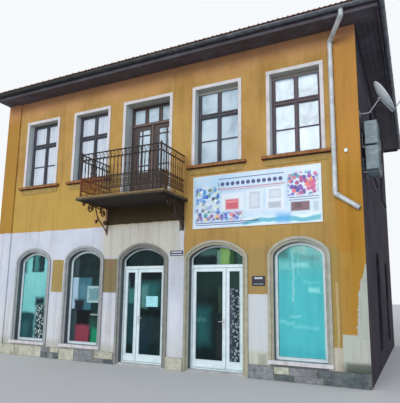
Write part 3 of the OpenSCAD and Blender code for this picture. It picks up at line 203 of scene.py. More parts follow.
for x0, x1, z0, z1, edge, strength, colour in [
    (-5.4, -1.3, 3.0, 4.9, 0.45, 0.65, "#c4a452"),
    (1.1, 4.6, 2.5, 3.25, 0.18, 0.55, "#a68c54"),
    (4.36, 4.68, 3.2, 4.9, 0.10, 0.6, "#b59c62"),
    (2.70, 3.28, 1.6, 2.75, 0.12, 0.75, "#a18c5c"),
    (4.44, 4.70, 0.4, 2.70, 0.08, 0.85, "#a1955f"),
    (4.585, 4.625, 0.72, 1.98, 0.016, 0.75, "#d2c8a4"),
    (-5.4, -4.68, 3.0, 7.6, 0.004, 0.85, "#af8238"),
    (4.68, 5.4, 2.6, 7.6, 0.004, 0.9, "#bf8a44"),
    (4.68, 5.4, 0.5, 4.4, 0.5, 0.9, "#a97c26"),
    (4.74, 5.10, 3.4, 5.2, 0.4, 0.45, "#c8933c"),
    (-5.4, 1.13, -1.0, 3.435, 0.010, 1.0, white_mix),
    (-1.30, 1.02, 2.62, 3.6, 0.16, 0.8, "#c9c6b4"),
    # a dark band under the balcony slab, with a strip of it down by the right bracket: partly
    # sooty wall, partly painted shade of the slab
    (-1.22, 1.08, 3.475, 3.97, 0.010, 1.0, "#453b29"),
    (0.99, 1.09, 3.22, 3.6, 0.020, 0.9, "#4d4431"),
    (-2.985, -2.585, 1.733, 2.605, 0.006, 1.0, "#a8925a"),
    (-1.22, -0.76, 1.733, 2.59, 0.006, 1.0, "#867a58"),
    (-1.10, -0.90, 2.36, 2.58, 0.08, 0.5, "#967466"),
    (-5.3, -0.7, 0.2, 1.45, 0.45, 0.5, "#d9dad8"),
    (1.00, 1.30, -1.0, 2.50, 0.008, 1.0, white_mix),
    (0.66, 1.16, 0.2, 0.75, 0.25, 0.5, "#cdcfc8"),
    (-5.3, -0.7, -0.1, 0.46, 0.10, 0.6, "#b4b3a0"),
    (2.55, 3.22, -1.0, 1.737, 0.008, 1.0, "#cfd5d9"),
    (2.55, 3.22, -1.0, 0.56, 0.05, 0.6, "#c3c3ac"),
    (2.95, 3.12, 0.25, 0.50, 0.05, 0.5, "#8b8a72"),
    (0.68, 0.75, 6.34, 7.17, 0.03, 0.35, "#d2bb84"),
    (3.22, 4.44, -1.0, 0.44, 0.012, 1.0, "#85898a"),
    (4.40, 4.68, -1.0, 0.72, 0.012, 1.0, "#c6c1b0"),
    (4.68, 5.40, -1.0, 0.98, 0.020, 1.0, "#b9bdb5"),
    (4.74, 5.40, -1.0, 0.45, 0.045, 0.75, "#4b564e"),
]:
    paint = painted_area(facade, worn, paint, x0, x1, z0, z1, edge, strength, colour)
# the bare grey-white at the corner widens downwards along a slanting, ragged edge
height = add(facade, "SeparateXYZ", {0: spot})
torn = add(facade, "TexNoise", {"Scale": 9, "Detail": 7, "Roughness": 0.72, "Vector": spot})
torn = add(facade, "MapRange",
    {"From Min": 0.3, "From Max": 0.7, "To Min": -0.035, "To Max": 0.035, "Value": torn})
for z0, z1, x0, slant in ((0.90, 1.86, 4.95, 0.087), (1.80, 2.34, 5.025, 0.302)):
    lean = add(facade, "Math",
        {"operation": "MULTIPLY_ADD", 1: -slant, 2: slant * (z0 + 0.06), 0: height.outputs[2]})
    lean = add(facade, "Math", {"operation": "ADD", 0: lean, 1: torn})
    lean = add(facade, "Math", {"operation": "ADD", 0: lean, 1: height.outputs[0]})
    leant = add(facade, "CombineXYZ", {0: lean, 2: height.outputs[2]})
    paint = painted_area(facade, leant, paint, x0, 5.9, z0, z1, 0.012, 1.0, "#b3b9b1")
paint = painted_area(facade, worn, paint, 4.70, 5.40, -0.3, 0.36, 0.16, 0.95, "#474941")
# rain and dust run down the wall in upright streaks about a hand wide
runs = add(facade, "Mapping", {"Scale": (7.5, 7.5, 0.42), "Vector": spot})
runs = add(facade, "TexNoise", {"Scale": 1.0, "Detail": 6, "Roughness": 0.7, "Vector": runs})
paint = stained(facade, paint, "#9a8468", runs, 0.50, 0.76, 0.42, "MULTIPLY")
# under the eaves the wall turns redder, fading by half a metre down: a reddish tone painted
# lighter than the wall, as painted light against the eaves' shade; a thin darker red-brown band
# lies right under the soffit
ragged = add(facade, "MapRange",
    {"To Min": -0.28, "To Max": 0.28, "From Min": 0.3, "From Max": 0.7, "Value": cloud})
ragged = add(facade, "Math", {"operation": "ADD", 0: height.outputs[2], 1: ragged})
paint = stained(facade, paint, "#d99a76", ragged, 6.75, 7.6, 0.75, step="SMOOTHSTEP")
paint = stained(facade, paint, "#7d4d3b", "Z", 7.40, 7.50, 0.22, step="SMOOTHSTEP")
# small flakes and stains, a few centimetres wide
flakes = add(facade, "TexNoise", {"Scale": 17, "Detail": 4, "Roughness": 0.7, "Vector": spot})
paint = stained(facade, paint, "#8f816c", flakes, 0.60, 0.74, 0.30, "MULTIPLY")
# inside the openings the wall is whitewashed above; below 3.6 m the reveals are painted
# dark grey and the heads, which face down, darker: painted shade. The walls' right ends go
# with the dark flank
behind = add(facade, "MapRange",
    {"From Min": -4.296, "From Max": -4.290, "Value": height.outputs[1]})
aside = add(facade, "Math", {"operation": "ABSOLUTE", 0: height.outputs[0]})
within = add(facade, "MapRange", {"From Min": 5.172, "From Max": 5.166, "Value": aside})
behind = add(facade, "Math", {"operation": "MULTIPLY", 0: behind, 1: within})
facing = add(facade, "NewGeometry")
facing = add(facade, "SeparateXYZ", {0: facing.outputs["Normal"]})
head = add(facade, "MapRange", {"From Min": -0.5, "From Max": -0.9, "Value": facing.outputs[2]})
lime = add(facade, "MixRGB", {"Color1": "#dbe6e9", "Color2": "#aba99e", "Fac": head})
painted_shade_low_reveals = add(facade, "MixRGB", {"Color1": "#5f696c", "Color2": "#55544a", "Fac": head})
lime = stained(facade, painted_shade_low_reveals, lime, "Z", 3.60, 3.70)
paint = add(facade, "MixRGB", {"Fac": behind, "Color1": paint, "Color2": lime})
# the walls' right ends take the flank's dark colour, which is partly painted shade
bare = add(facade, "ValToRGB",
    {"stops": [(0.32, "#2b2531"), (0.50, "#36303b"), (0.66, "#433c43")], 0: cloud})
paint = stained(facade, paint, bare, "X", 5.1790, 5.1797)
grit = add(facade, "TexNoise", {"Scale": 45, "Detail": 6, "Roughness": 0.65, "Vector": spot})
rough = add(facade, "Bump", {"Strength": 0.35, "Distance": 0.006, "Height": grit})
uneven = add(facade, "Bump",
    {"Strength": 0.45, "Distance": 0.02, "Height": lumps, "Normal": rough})
wear(facade, {"Base Color": paint, "Roughness": 0.92, "Specular IOR Level": 0.25,
    "Normal": uneven})
dress(["front_wall_left", "front_pier", "front_wall_right", "front_arch_wall",
       "front_wall_upper", "corner_pilasters"], facade)


# Right flank: the same brick under a very dark render, partly its own dark colour and partly
# painted shade, with paler runs of water down it. The other two hidden sides have plain ochre.
def mottled(made, place, noise, *stops):
    """A cloudy noise over the piece, and the colours that it runs through."""
    cloud = add(made, "TexNoise", {**noise, "Vector": place})
    return cloud, add(made, "ValToRGB", {"stops": stops, 0: cloud})


flank, spot = new_material("dark_render_and_painted_shade")
_, tone = mottled(flank, spot, {"Scale": 1.3, "Detail": 7, "Roughness": 0.6},
    (0.32, "#2b2531"), (0.50, "#36303b"), (0.66, "#433c43"))
runs = add(flank, "Mapping", {"Scale": (8, 8, 0.3), "Vector": spot})
runs = add(flank, "TexNoise", {"Scale": 1.0, "Detail": 5, "Vector": runs})
tone = stained(flank, tone, "#6a6169", runs, 0.56, 0.72, 0.4)
grit = add(flank, "TexNoise", {"Scale": 60, "Detail": 6, "Roughness": 0.7, "Vector": spot})
wear(flank, {"Base Color": tone, "Roughness": 0.95, "Specular IOR Level": 0.2},
    (grit, 0.6, 0.008))
dress(["right_wall", "right_wall_upper"], flank)

rear, spot = new_material("plain_ochre_render")
_, tone = mottled(rear, spot, {"Scale": 0.7, "Detail": 8, "Roughness": 0.62},
    (0.30, "#9c834e"), (0.50, "#b1955a"), (0.70, "#bfa56c"))
runs = add(rear, "Mapping", {"Scale": (6, 6, 0.35), "Vector": spot})
runs = add(rear, "TexNoise", {"Scale": 1.0, "Detail": 6, "Roughness": 0.7, "Vector": runs})
tone = stained(rear, tone, "#8f7d66", runs, 0.48, 0.75, 0.5, "MULTIPLY")
tone = stained(rear, tone, "#7d7a6c", "Z", 0.9, 0.1, 0.75, step="SMOOTHSTEP")
# the rear wall's right end takes the flank's dark colour, which is partly painted shade
tone = stained(rear, tone, "#3f3742", "X", 5.1790, 5.1797)
grit = add(rear, "TexNoise", {"Scale": 45, "Detail": 6, "Roughness": 0.65, "Vector": spot})
wear(rear, {"Base Color": tone, "Roughness": 0.93, "Specular IOR Level": 0.25},
    (grit, 0.5, 0.007))
dress(["left_wall", "left_wall_upper", "rear_wall", "rear_wall_upper"], rear)


# Floors: a cast concrete slab at street level, whose front edge is the
# doorstep, and boarded timber floors over both storeys, of 140 mm boards.
concrete, spot = new_material("trowelled_concrete")
_, tone = mottled(concrete, spot, {"Scale": 2.2, "Detail": 8, "Roughness": 0.65},
    (0.3, "#9a9e9f"), (0.5, "#b0b4b4"), (0.7, "#c0c3c3"))
grit = add(concrete, "TexNoise", {"Scale": 90, "Detail": 5, "Vector": spot})
wear(concrete, {"Base Color": tone, "Roughness": 0.85}, (grit, 0.4, 0.003))
dress(["ground_floor"], concrete)

boards, spot = new_material("bare_pine_boards")
width = add(boards, "TexBrick", {
    "Scale": 1.0, "Brick Width": 3.2, "Row Height": 0.14, "Mortar Size": 0.003,
    "Color1": "#8a6a45", "Color2": "#a2805a", "Mortar": "#2b2016", "Vector": spot})
grain = add(boards, "Mapping", {"Scale": (3, 60, 60), "Vector": spot})
grain = add(boards, "TexNoise", {"Scale": 1.0, "Detail": 6, "Distortion": 0.4, "Vector": grain})
tone = add(boards, "MixRGB",
    {"blend_type": "SOFT_LIGHT", "Fac": 0.6, "Color1": width, "Color2": grain})
wear(boards, {"Base Color": tone, "Roughness": 0.7})
dress(["upper_floor", "attic_floor"], boards)


# Eaves: brown painted boards, 118 mm wide, nailed along the underside of the
# rafters and closed by an upright fascia board. The sun has greyed them.
def alone(piece):
    """Makes this piece the only one selected, and the active one."""
    bpy.ops.object.select_all(action="DESELECT")
    piece.select_set(True)
    bpy.context.view_layer.objects.active = piece


def block(name, x0, x1, y0, y1, z0, z1):
    """Adds a cube primitive between these planes, with its place in its mesh."""
    bpy.ops.object.select_all(action="DESELECT")
    bpy.ops.mesh.primitive_cube_add(size=1,
        location=((x0 + x1) / 2, (y0 + y1) / 2, (z0 + z1) / 2))
    piece = bpy.context.object
    piece.name = name
    piece.scale = (abs(x1 - x0), abs(y1 - y0), abs(z1 - z0))
    bpy.ops.object.transform_apply(location=True, rotation=True, scale=True)
    return piece


def soften(piece, width, segments=2, angle=30):
    """Rounds the piece's sharp edges with a bevel, applied."""
    alone(piece)
    edge = piece.modifiers.new("edge", "BEVEL")
    edge.width, edge.segments = width, segments
    edge.limit_method, edge.angle_limit = "ANGLE", math.radians(angle)
    bpy.ops.object.modifier_apply(modifier="edge")
    return piece


def twin(piece, way):
    """A copy with its own mesh, put where the matrix or the offset says."""
    made = piece.copy()
    made.data = piece.data.copy()
    made.data.transform(way if isinstance(way, Matrix) else Matrix.Translation(way))
    bpy.context.scene.collection.objects.link(made)
    return made


def joined(name, pieces):
    """The pieces as one object of this name."""
    bpy.ops.object.select_all(action="DESELECT")
    for piece in pieces:
        piece.select_set(True)
    bpy.context.view_layer.objects.active = pieces[0]
    if len(pieces) > 1:
        bpy.ops.object.join()
    whole = bpy.context.object
    whole.name = name
    return whole


def settle(piece, body, slot, finish, *stands_for):
    """Gives a piece its finish and its body, and hides the nodes it stands for. The slot is not
    used.
    """
    piece.data.materials.clear()
    piece.data.materials.append(finish)
    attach(piece, body)
    if stands_for:
        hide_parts(*stands_for)
    return piece


eaves_paint, spot = new_material("weathered_brown_eaves_paint")
_, tone = mottled(eaves_paint, spot, {"Scale": 2.5, "Detail": 7, "Roughness": 0.65},
    (0.30, "#3a343a"), (0.50, "#48434c"), (0.68, "#575664"))
grain = add(eaves_paint, "TexNoise", {"Scale": 55, "Detail": 4, "Vector": spot})
wear(eaves_paint, {"Base Color": tone, "Roughness": 0.65}, (grain, 0.3, 0.003))
dress(["eaves_soffit", "fascia"], eaves_paint)

laid = []
for i in range(4):
    y = -4.345 - 0.121 * i
    laid.append(block("board", -5.18, 5.655, y - 0.118, y, 7.470, 7.489))
for i in range(5):
    y = 4.302 + 0.114 * i
    laid.append(block("board", -5.18, 5.655, y, y + 0.111, 7.470, 7.489))
for i in range(4):
    x = 5.184 + 0.118 * i
    laid.append(block("board", x, x + 0.115, -4.342, 4.299, 7.470, 7.489))
for board in laid:
    soften(board, 0.006, 1)
settle(joined("soffit_boards", laid), "building", "eaves_timber", eaves_paint)


# Roof covering: pressed clay tiles with a side roll and a middle rib, 220 mm
# wide, hung on battens every 330 mm, each row over the one below it. They
# are modelled once and copied, and cut along the two hips.
def walled(piece, thickness):
    """Gives an open surface a wall of this thickness, applied."""
    alone(piece)
    wall = piece.modifiers.new("wall", "SOLIDIFY")
    wall.thickness = thickness
    bpy.ops.object.modifier_apply(modifier="wall")
    return piece


def primitive(operator, **settings):
    """The object that this operator adds, with its place and turn in its mesh."""
    bpy.ops.object.select_all(action="DESELECT")
    operator(**settings)
    bpy.ops.object.transform_apply(location=True, rotation=True, scale=True)
    return bpy.context.object


def edit(operator, **settings):
    """Runs an operator over the whole mesh of the active piece."""
    bpy.ops.object.mode_set(mode="EDIT")
    bpy.ops.mesh.select_all(action="SELECT")
    operator(**settings)
    bpy.ops.object.mode_set(mode="OBJECT")


clay, spot = new_material("pressed_clay_tile")
_, tone = mottled(clay, spot, {"Scale": 1.1, "Detail": 8, "Roughness": 0.65},
    (0.30, "#5f4038"), (0.45, "#7d4f3d"), (0.58, "#93604a"), (0.74, "#a3775f"))
each = add(clay, "NewGeometry")
firing = add(clay, "MapRange",
    {"To Min": 0.72, "To Max": 1.12, "Value": each.outputs["Random Per Island"]})
tone = add(clay, "VectorMath", {"operation": "SCALE", 0: tone, "Scale": firing})
moss = add(clay, "TexNoise", {"Scale": 6, "Detail": 6, "Roughness": 0.7, "Vector": spot})
tone = stained(clay, tone, "#4c4b3c", moss, 0.55, 0.72, 0.65)
grit = add(clay, "TexNoise", {"Scale": 120, "Detail": 4, "Vector": spot})
wear(clay, {"Base Color": tone, "Roughness": 0.88}, (grit, 0.3, 0.002))
dress(["roof", "ridge_tiles"], clay)

tile = block("tile", -0.115, 0.120, 0, 0.40, 0, 0.014)
for x in (-0.080, -0.022, 0.0, 0.022, 0.082):
    edit(bpy.ops.mesh.bisect, plane_co=(x, 0, 0), plane_no=(1, 0, 0))
for v in tile.data.vertices:
    x = v.co.x
    rise = 0.022 if x > 0.1 else 0.015 if abs(x) < 0.01 else 0.004 if x < -0.1 else 0
    v.co.z += rise + 0.031 - 0.0545 * v.co.y

slope = math.radians(22)
tile_width, course, below_eaves = 0.22, 0.33434, 0.071
ridge_end, eave_line, eave_top = 0.78, 4.9, 7.61
tiled = {"front": [], "rear": [], "side": []}
for side, across, run in (
    ("front", Vector((1, 0, 0)), Vector((0, math.cos(slope), math.sin(slope)))),
    ("rear", Vector((-1, 0, 0)), Vector((0, -math.cos(slope), math.sin(slope)))),
    ("side", Vector((0, 1, 0)), Vector((-math.cos(slope), 0, math.sin(slope)))),
):
    out = across.cross(run)
    span = 10.86 if side != "side" else 9.8
    count = round(span / tile_width)
    for row in range(16):
        along = row * course - below_eaves
        for column in range(count):
            gap = (column + 0.5) * span / count
            if side == "front":
                foot = Vector((-5.18 + gap, -eave_line, eave_top))
            elif side == "rear":
                foot = Vector((5.68 - gap, eave_line, eave_top))
            else:
                foot = Vector((5.68, -eave_line + gap, eave_top))
            start = foot + run * along
            corners = [start + across * a + run * b for a in (-0.115, 0.12) for b in (0, 0.4)]
            if side == "side":
                past_hip = [abs(p.y) - (p.x - ridge_end) for p in corners]
            else:
                past_hip = [p.x - ridge_end - abs(p.y) for p in corners]
            if min(past_hip) > -0.02:
                continue
            start += across * random.uniform(-0.003, 0.003) + run * random.uniform(-0.004, 0.004)
            turn = Matrix.Rotation(math.radians(random.uniform(-0.5, 0.5)), 4, "Z")
            way = Matrix((
                (across.x, run.x, out.x, start.x), (across.y, run.y, out.y, start.y),
                (across.z, run.z, out.z, start.z), (0, 0, 0, 1))) @ turn
            placed = twin(tile, way)
            if max(past_hip) > 0:
                if side == "side":
                    line = (-1, 1, 0) if start.y > 0 else (-1, -1, 0)
                else:
                    line = (1, 1, 0) if side == "front" else (1, -1, 0)
                alone(placed)
                edit(bpy.ops.mesh.bisect, plane_co=(ridge_end, 0, 0), plane_no=line,
                    use_fill=True, clear_outer=True)
            tiled[side].append(placed)
for side, laid in tiled.items():
    settle(joined("roof_tiles_" + side, laid), "building", "roof_tile", clay)
bpy.data.objects.remove(tile)

# half-round caps over the ridge and the hips, bedded in mortar, 330 mm apart
cap = primitive(bpy.ops.mesh.primitive_cylinder_add, vertices=16, radius=0.112, depth=0.39,
    end_fill_type="NOTHING", rotation=(0, math.pi / 2, 0))
edit(bpy.ops.mesh.bisect, plane_co=(0, 0, -0.035), plane_no=(0, 0, -1), clear_outer=True)
for v in cap.data.vertices:
    v.co *= 1.06 if v.co.x < 0 else 0.94
    v.co.x += 0.195
soften(walled(cap, 0.014), 0.003, 1)
top = 9.553
caps = []
for start, end in (
    (Vector((-5.19, 0, top)), Vector((ridge_end + 0.05, 0, top))),
    (Vector((5.66, -4.88, top - 1.975)), Vector((ridge_end, 0, top))),
    (Vector((5.66, 4.88, top - 1.975)), Vector((ridge_end, 0, top))),
):
    way = end - start
    steps = int(way.length / 0.33)
    aim = way.to_track_quat("X", "Z").to_matrix().to_4x4()
    for i in range(steps):
        place = start + way * (i / steps) + Vector((0, 0, random.uniform(-0.004, 0.004)))
        caps.append(twin(cap, Matrix.Translation(place) @ aim))
settle(joined("ridge_and_hip_caps", caps), "building", "roof_tile", clay, "ridge_tiles")
bpy.data.objects.remove(cap)


# Rainwater goods: folded galvanised sheet, once painted white, now dull and
# chalky. Straps hold the half-round gutter every 0.9 m, and sockets join the pipe.
zinc, spot = new_material("weathered_galvanised_sheet")
spangle = add(zinc, "TexVoronoi", {"Scale": 26, "Vector": spot})
cloud, tone = mottled(zinc, spot, {"Scale": 4, "Detail": 7, "Roughness": 0.7},
    (0.30, "#9aa2a8"), (0.50, "#c3c9cc"), (0.70, "#dde1e2"))
tone = add(zinc, "MixRGB",
    {"blend_type": "SOFT_LIGHT", "Fac": 0.12, "Color1": tone, "Color2": spangle.outputs["Color"]})
# above 7.44 m the gutter is painted dark at the left and lighter purple-grey to the right:
# painted shade and a painted sheen
height = add(zinc, "SeparateXYZ", {0: spot})
along = add(zinc, "MapRange",
    {"From Min": -4.5, "From Max": 4.5, "To Min": -0.22, "To Max": 0.16,
    "Value": height.outputs[0]})
along = add(zinc, "Math", {"operation": "ADD", 0: along, 1: cloud})
painted_gutter_shade_and_sheen = add(zinc, "ValToRGB", {"stops": [
    (0.30, "#262a29"), (0.50, "#3c4044"), (0.72, "#666a74")], 0: along})
tone = stained(zinc, tone, painted_gutter_shade_and_sheen, "Z", 7.44, 7.48)
wear(zinc, {"Base Color": tone, "Metallic": 0.15, "Roughness": 0.5})
dress(["gutter", "downpipe"], zinc)


def ring(radius, thickness, depth, centre, way):
    """A short sleeve round a pipe: a cylinder without ends, given a wall."""
    piece = walled(primitive(bpy.ops.mesh.primitive_cylinder_add, vertices=32,
        radius=radius + thickness, depth=depth, end_fill_type="NOTHING"), thickness)
    aim = way.to_track_quat("Z", "Y").to_matrix().to_4x4()
    piece.data.transform(Matrix.Translation(centre) @ aim)
    return piece


neck, bend = Vector((4.662, -4.40, 7.155)), Vector((4.662, -4.40, 3.785))
outlet = Vector((4.990, -4.965, 7.36))
spout = bend + Vector((math.cos(math.radians(36)), 0, -math.sin(math.radians(36)))) * 0.56
sleeves = []
for a, b, share in (
    (neck, outlet, 0.06), (neck, outlet, 0.93), (neck, bend, 0.03), (neck, bend, 0.36),
    (neck, bend, 0.69), (neck, bend, 0.97), (bend, spout, 0.10), (bend, spout, 0.985),
):
    depth = 0.05 if share < 0.98 else 0.012
    sleeves.append(ring(0.0505, 0.005, depth, a + (b - a) * share, b - a))
settle(joined("downpipe_sockets", sleeves), "building", "gutter_metal", zinc)

strap = primitive(bpy.ops.mesh.primitive_cylinder_add, vertices=24, radius=0.070, depth=0.028,
    end_fill_type="NOTHING", rotation=(0, math.pi / 2, 0))
edit(bpy.ops.mesh.bisect, plane_co=(0, 0, 0.004), plane_no=(0, 0, 1), clear_outer=True)
walled(strap, 0.0045)
straps = []
for i in range(12):
    x = -4.9 + 0.93 * i
    for y in (-4.965, 4.965):
        straps.append(twin(strap, (x, y, 7.55)))
for i in range(10):
    straps.append(twin(strap,
        Matrix.Translation((5.745, -4.35 + 0.96 * i, 7.55))
        @ Matrix.Rotation(math.pi / 2, 4, "Z")))
settle(joined("gutter_straps", straps), "building", "gutter_metal", zinc)
bpy.data.objects.remove(strap)


# Plinth: blocks of split limestone and darker river stone set in lime mortar,
# with worn arrises. A squared white stone with a carved ring ends the pier.
def rough_stone(x0, x1, z0, z1, chipped):
    """A squared stone, cut finer, its edges worn and its faces left uneven."""
    piece = block("stone", x0, x1, -4.367, -4.29, z0, z1)
    edit(bpy.ops.mesh.subdivide, number_cuts=3)
    for v in piece.data.vertices:
        if v.co.y < -4.3:
            v.co += Vector([random.uniform(-chipped, chipped) for _ in range(3)])
            v.co.y = max(v.co.y, -4.372)
    return soften(piece, 0.008, 2, 40)


stone_shades = {"limestone": [], "grey": [], "dark": []}
for x0, x1, z0, z1, shade in [
    (-5.18, -4.13, 0, 0.28, "limestone"), (-4.13, -3.15, 0.0, 0.28, "limestone"),
    (-3.15, -2.84, 0.15, 0.28, "grey"), (-3.15, -2.92, 0, 0.15, "dark"),
    (-2.92, -2.70, 0, 0.15, "grey"),
    (-2.84, -2.52, 0.15, 0.28, "limestone"), (-2.70, -2.52, 0, 0.15, "dark"),
    (-2.52, -2.0, 0, 0.28, "limestone"), (-2.0, -1.36, 0, 0.28, "grey"),
    (-1.36, -0.77, 0.11, 0.28, "limestone"), (-1.36, -1.05, 0, 0.11, "grey"),
    (-1.05, -0.77, 0, 0.11, "dark"),
    (2.73, 3.30, 0, 0.28, "grey"), (3.30, 3.62, 0.13, 0.28, "limestone"),
    (3.30, 3.72, 0, 0.13, "dark"),
    (3.62, 4.18, 0.13, 0.28, "grey"), (3.72, 4.30, 0, 0.13, "grey"),
    (4.18, 4.66, 0.13, 0.28, "dark"),
    (4.30, 4.66, 0, 0.13, "dark"), (4.66, 5.18, 0, 0.28, "dark"),
]:
    stone_shades[shade].append(rough_stone(x0 + 0.007, x1 - 0.007, z0 + 0.005, z1 - 0.004, 0.006))
stone_shades["limestone"].append(rough_stone(0.715, 1.155, 0.003, 0.277, 0.003))
carved = primitive(bpy.ops.mesh.primitive_torus_add, major_radius=0.062, minor_radius=0.009,
    major_segments=32, minor_segments=8, location=(0.935, -4.364, 0.14),
    rotation=(math.pi / 2, 0, 0))
stone_shades["limestone"].append(carved)
for shade, dark, mid, light in (("limestone", "#8f907f", "#b9baa9", "#cfd0c2"),
                                ("grey", "#5f6466", "#808488", "#9b9ea0"),
                                ("dark", "#41474a", "#5c6669", "#747d80")):
    stone, spot = new_material("split_" + shade + "_stone")
    veins = add(stone, "TexNoise", {"Scale": 7, "Detail": 9, "Roughness": 0.7, "Vector": spot})
    tone = add(stone, "ValToRGB", {"stops": [(0.32, dark), (0.5, mid), (0.68, light)], 0: veins})
    wear(stone, {"Base Color": tone, "Roughness": 0.9}, (veins, 0.7, 0.01))
    piece = joined("plinth_stones_" + shade, stone_shades[shade])
    settle(piece, "building", "plinth_stone", stone,
        *(["plinth"] if shade == "limestone" else []))

mortar, spot = new_material("lime_mortar")
sandy = add(mortar, "TexNoise", {"Scale": 30, "Detail": 6, "Roughness": 0.7, "Vector": spot})
tone = add(mortar, "ValToRGB", {"stops": [(0.3, "#6f6b60"), (0.7, "#959083")], 0: sandy})
wear(mortar, {"Base Color": tone, "Roughness": 0.95})
beds = [soften(block("bed", x0, x1, -4.352, -4.295, 0, 0.278), 0.005, 1)
        for x0, x1 in ((-5.18, -0.77), (0.71, 1.16), (2.73, 5.18))]
settle(joined("plinth_mortar", beds), "building", "plinth_stone", mortar)


# Surrounds, sills and arch bands: run in plaster round the openings. The
# surrounds are white, the sills red-brown over aprons in the wall's ochre, and
# the bands' colour turns from grey to cream to the right.
surround, spot = new_material("white_plaster_surround")
_, tone = mottled(surround, spot, {"Scale": 3, "Detail": 8, "Roughness": 0.65},
    (0.28, "#bfbab6"), (0.48, "#dad7d9"), (0.72, "#e6e3e8"))
# the surrounds' faces at the flank take its dark colour, which is partly painted shade
tone = stained(surround, tone, "#4a434d", "X", 5.180, 5.182)
grit = add(surround, "TexNoise", {"Scale": 80, "Detail": 5, "Vector": spot})
wear(surround, {"Base Color": tone, "Roughness": 0.85}, (grit, 0.3, 0.003))
dress(["window_surrounds"], surround)

sills, spot = new_material("rust_run_sill_plaster")
cloud = add(sills, "TexNoise", {"Scale": 8, "Detail": 7, "Roughness": 0.7, "Vector": spot})
brown = add(sills, "ValToRGB", {"stops": [
    (0.30, "#6b4126"), (0.50, "#946236"), (0.70, "#a97d48")], 0: cloud})
cream = add(sills, "ValToRGB", {"stops": [
    (0.30, "#94783f"), (0.50, "#aa8d50"), (0.72, "#b89b5a")], 0: cloud})
apart = add(sills, "SeparateXYZ", {0: spot})
tone = stained(sills, cream, brown, "Z", 4.706, 4.716)
# a dark line painted just under each sill's lip, from 4.690 to 4.722 m: painted shadow
shade = add(sills, "MapRange",
    {"From Min": 4.690, "From Max": 4.706, "To Max": 1, "Value": apart.outputs[2]})
lit = add(sills, "MapRange",
    {"From Min": 4.722, "From Max": 4.712, "To Max": 1, "Value": apart.outputs[2]})
shade = add(sills, "Math", {"operation": "MULTIPLY", 0: shade, 1: lit})
tone = add(sills, "MixRGB", {"Color2": "#4a2c1c", "Fac": shade, "Color1": tone})
# the sills' faces at the flank take its dark colour, which is partly painted shade
tone = stained(sills, tone, "#4a434d", "X", 5.180, 5.182)
wear(sills, {"Base Color": tone, "Roughness": 0.85}, (cloud, 0.4, 0.006))
dress(["window_sills"], sills)

bands, spot = new_material("run_plaster_bands")
apart = add(bands, "SeparateXYZ", {0: spot})
along = add(bands, "MapRange", {"From Min": -5, "From Max": 5, "Value": apart.outputs[0]})
# the bands are darker grey around X -0.3 to 0.5, over the door under the balcony: painted shade
tone = add(bands, "ValToRGB", {"stops": [
    (0.10, "#a4a9ac"), (0.38, "#9da1a2"), (0.47, "#7b7a74"), (0.55, "#7d7f7a"),
    (0.64, "#a6a491"), (0.78, "#afa993"), (0.90, "#a9aa9e")], 0: along})
cloud = add(bands, "TexNoise", {"Scale": 6, "Detail": 8, "Roughness": 0.7, "Vector": spot})
shade = add(bands, "MapRange",
    {"To Min": 0.78, "To Max": 1.22, "From Min": 0.3, "From Max": 0.7, "Value": cloud})
tone = add(bands, "VectorMath", {"operation": "SCALE", 0: tone, "Scale": shade})
# the recessed inner ring of each band is painted darker: painted shade
tone = stained(bands, tone, "#565d60", "Y", -4.318, -4.313, 0.3)
wear(bands, {"Base Color": tone, "Roughness": 0.85}, (cloud, 0.4, 0.005))
dress(["arch_bands"], bands)

ledge, spot = new_material("white_painted_shop_sill")
_, tone = mottled(ledge, spot, {"Scale": 9, "Detail": 7, "Roughness": 0.7},
    (0.30, "#a7a49f"), (0.48, "#cfccd2"), (0.70, "#dddbe2"))
wear(ledge, {"Base Color": tone, "Roughness": 0.7})
dress(["shop_sills"], ledge)


# Upper windows: old double casements under two top lights, in oil paint gone
# grey-brown. Each light has its own sash in the frame, and a thin bar crosses
# each casement in the middle.
def open_frame(name, x0, x1, z0, z1, width, y0, y1):
    """A frame in a wall's plane: a face inset, its middle cut out, drawn out to y1."""
    bpy.ops.object.select_all(action="DESELECT")
    bpy.ops.mesh.primitive_plane_add(size=1, location=((x0 + x1) / 2, y0, (z0 + z1) / 2),
        rotation=(math.pi / 2, 0, 0))
    piece = bpy.context.object
    piece.name = name
    piece.scale = (x1 - x0, z1 - z0, 1)
    bpy.ops.object.transform_apply(location=True, rotation=True, scale=True)
    bpy.ops.object.mode_set(mode="EDIT")
    bpy.ops.mesh.select_all(action="SELECT")
    bpy.ops.mesh.inset(thickness=width)
    bpy.ops.mesh.delete(type="FACE")
    bpy.ops.mesh.select_all(action="SELECT")
    bpy.ops.mesh.extrude_region_move(TRANSFORM_OT_translate={"value": (0, y1 - y0, 0)})
    bpy.ops.mesh.select_all(action="SELECT")
    bpy.ops.mesh.normals_make_consistent(inside=False)
    bpy.ops.object.mode_set(mode="OBJECT")
    return piece


old_paint, spot = new_material("greyed_oil_paint_on_pine")
grain = add(old_paint, "Mapping", {"Scale": (9, 9, 2.5), "Vector": spot})
grain = add(old_paint, "TexNoise", {"Scale": 3.0, "Detail": 8, "Roughness": 0.7, "Vector": grain})
tone = add(old_paint, "ValToRGB", {"stops": [
    (0.30, "#2c2b33"), (0.50, "#403f48"), (0.70, "#5d5f69")], 0: grain})
apart = add(old_paint, "SeparateXYZ", {0: spot})
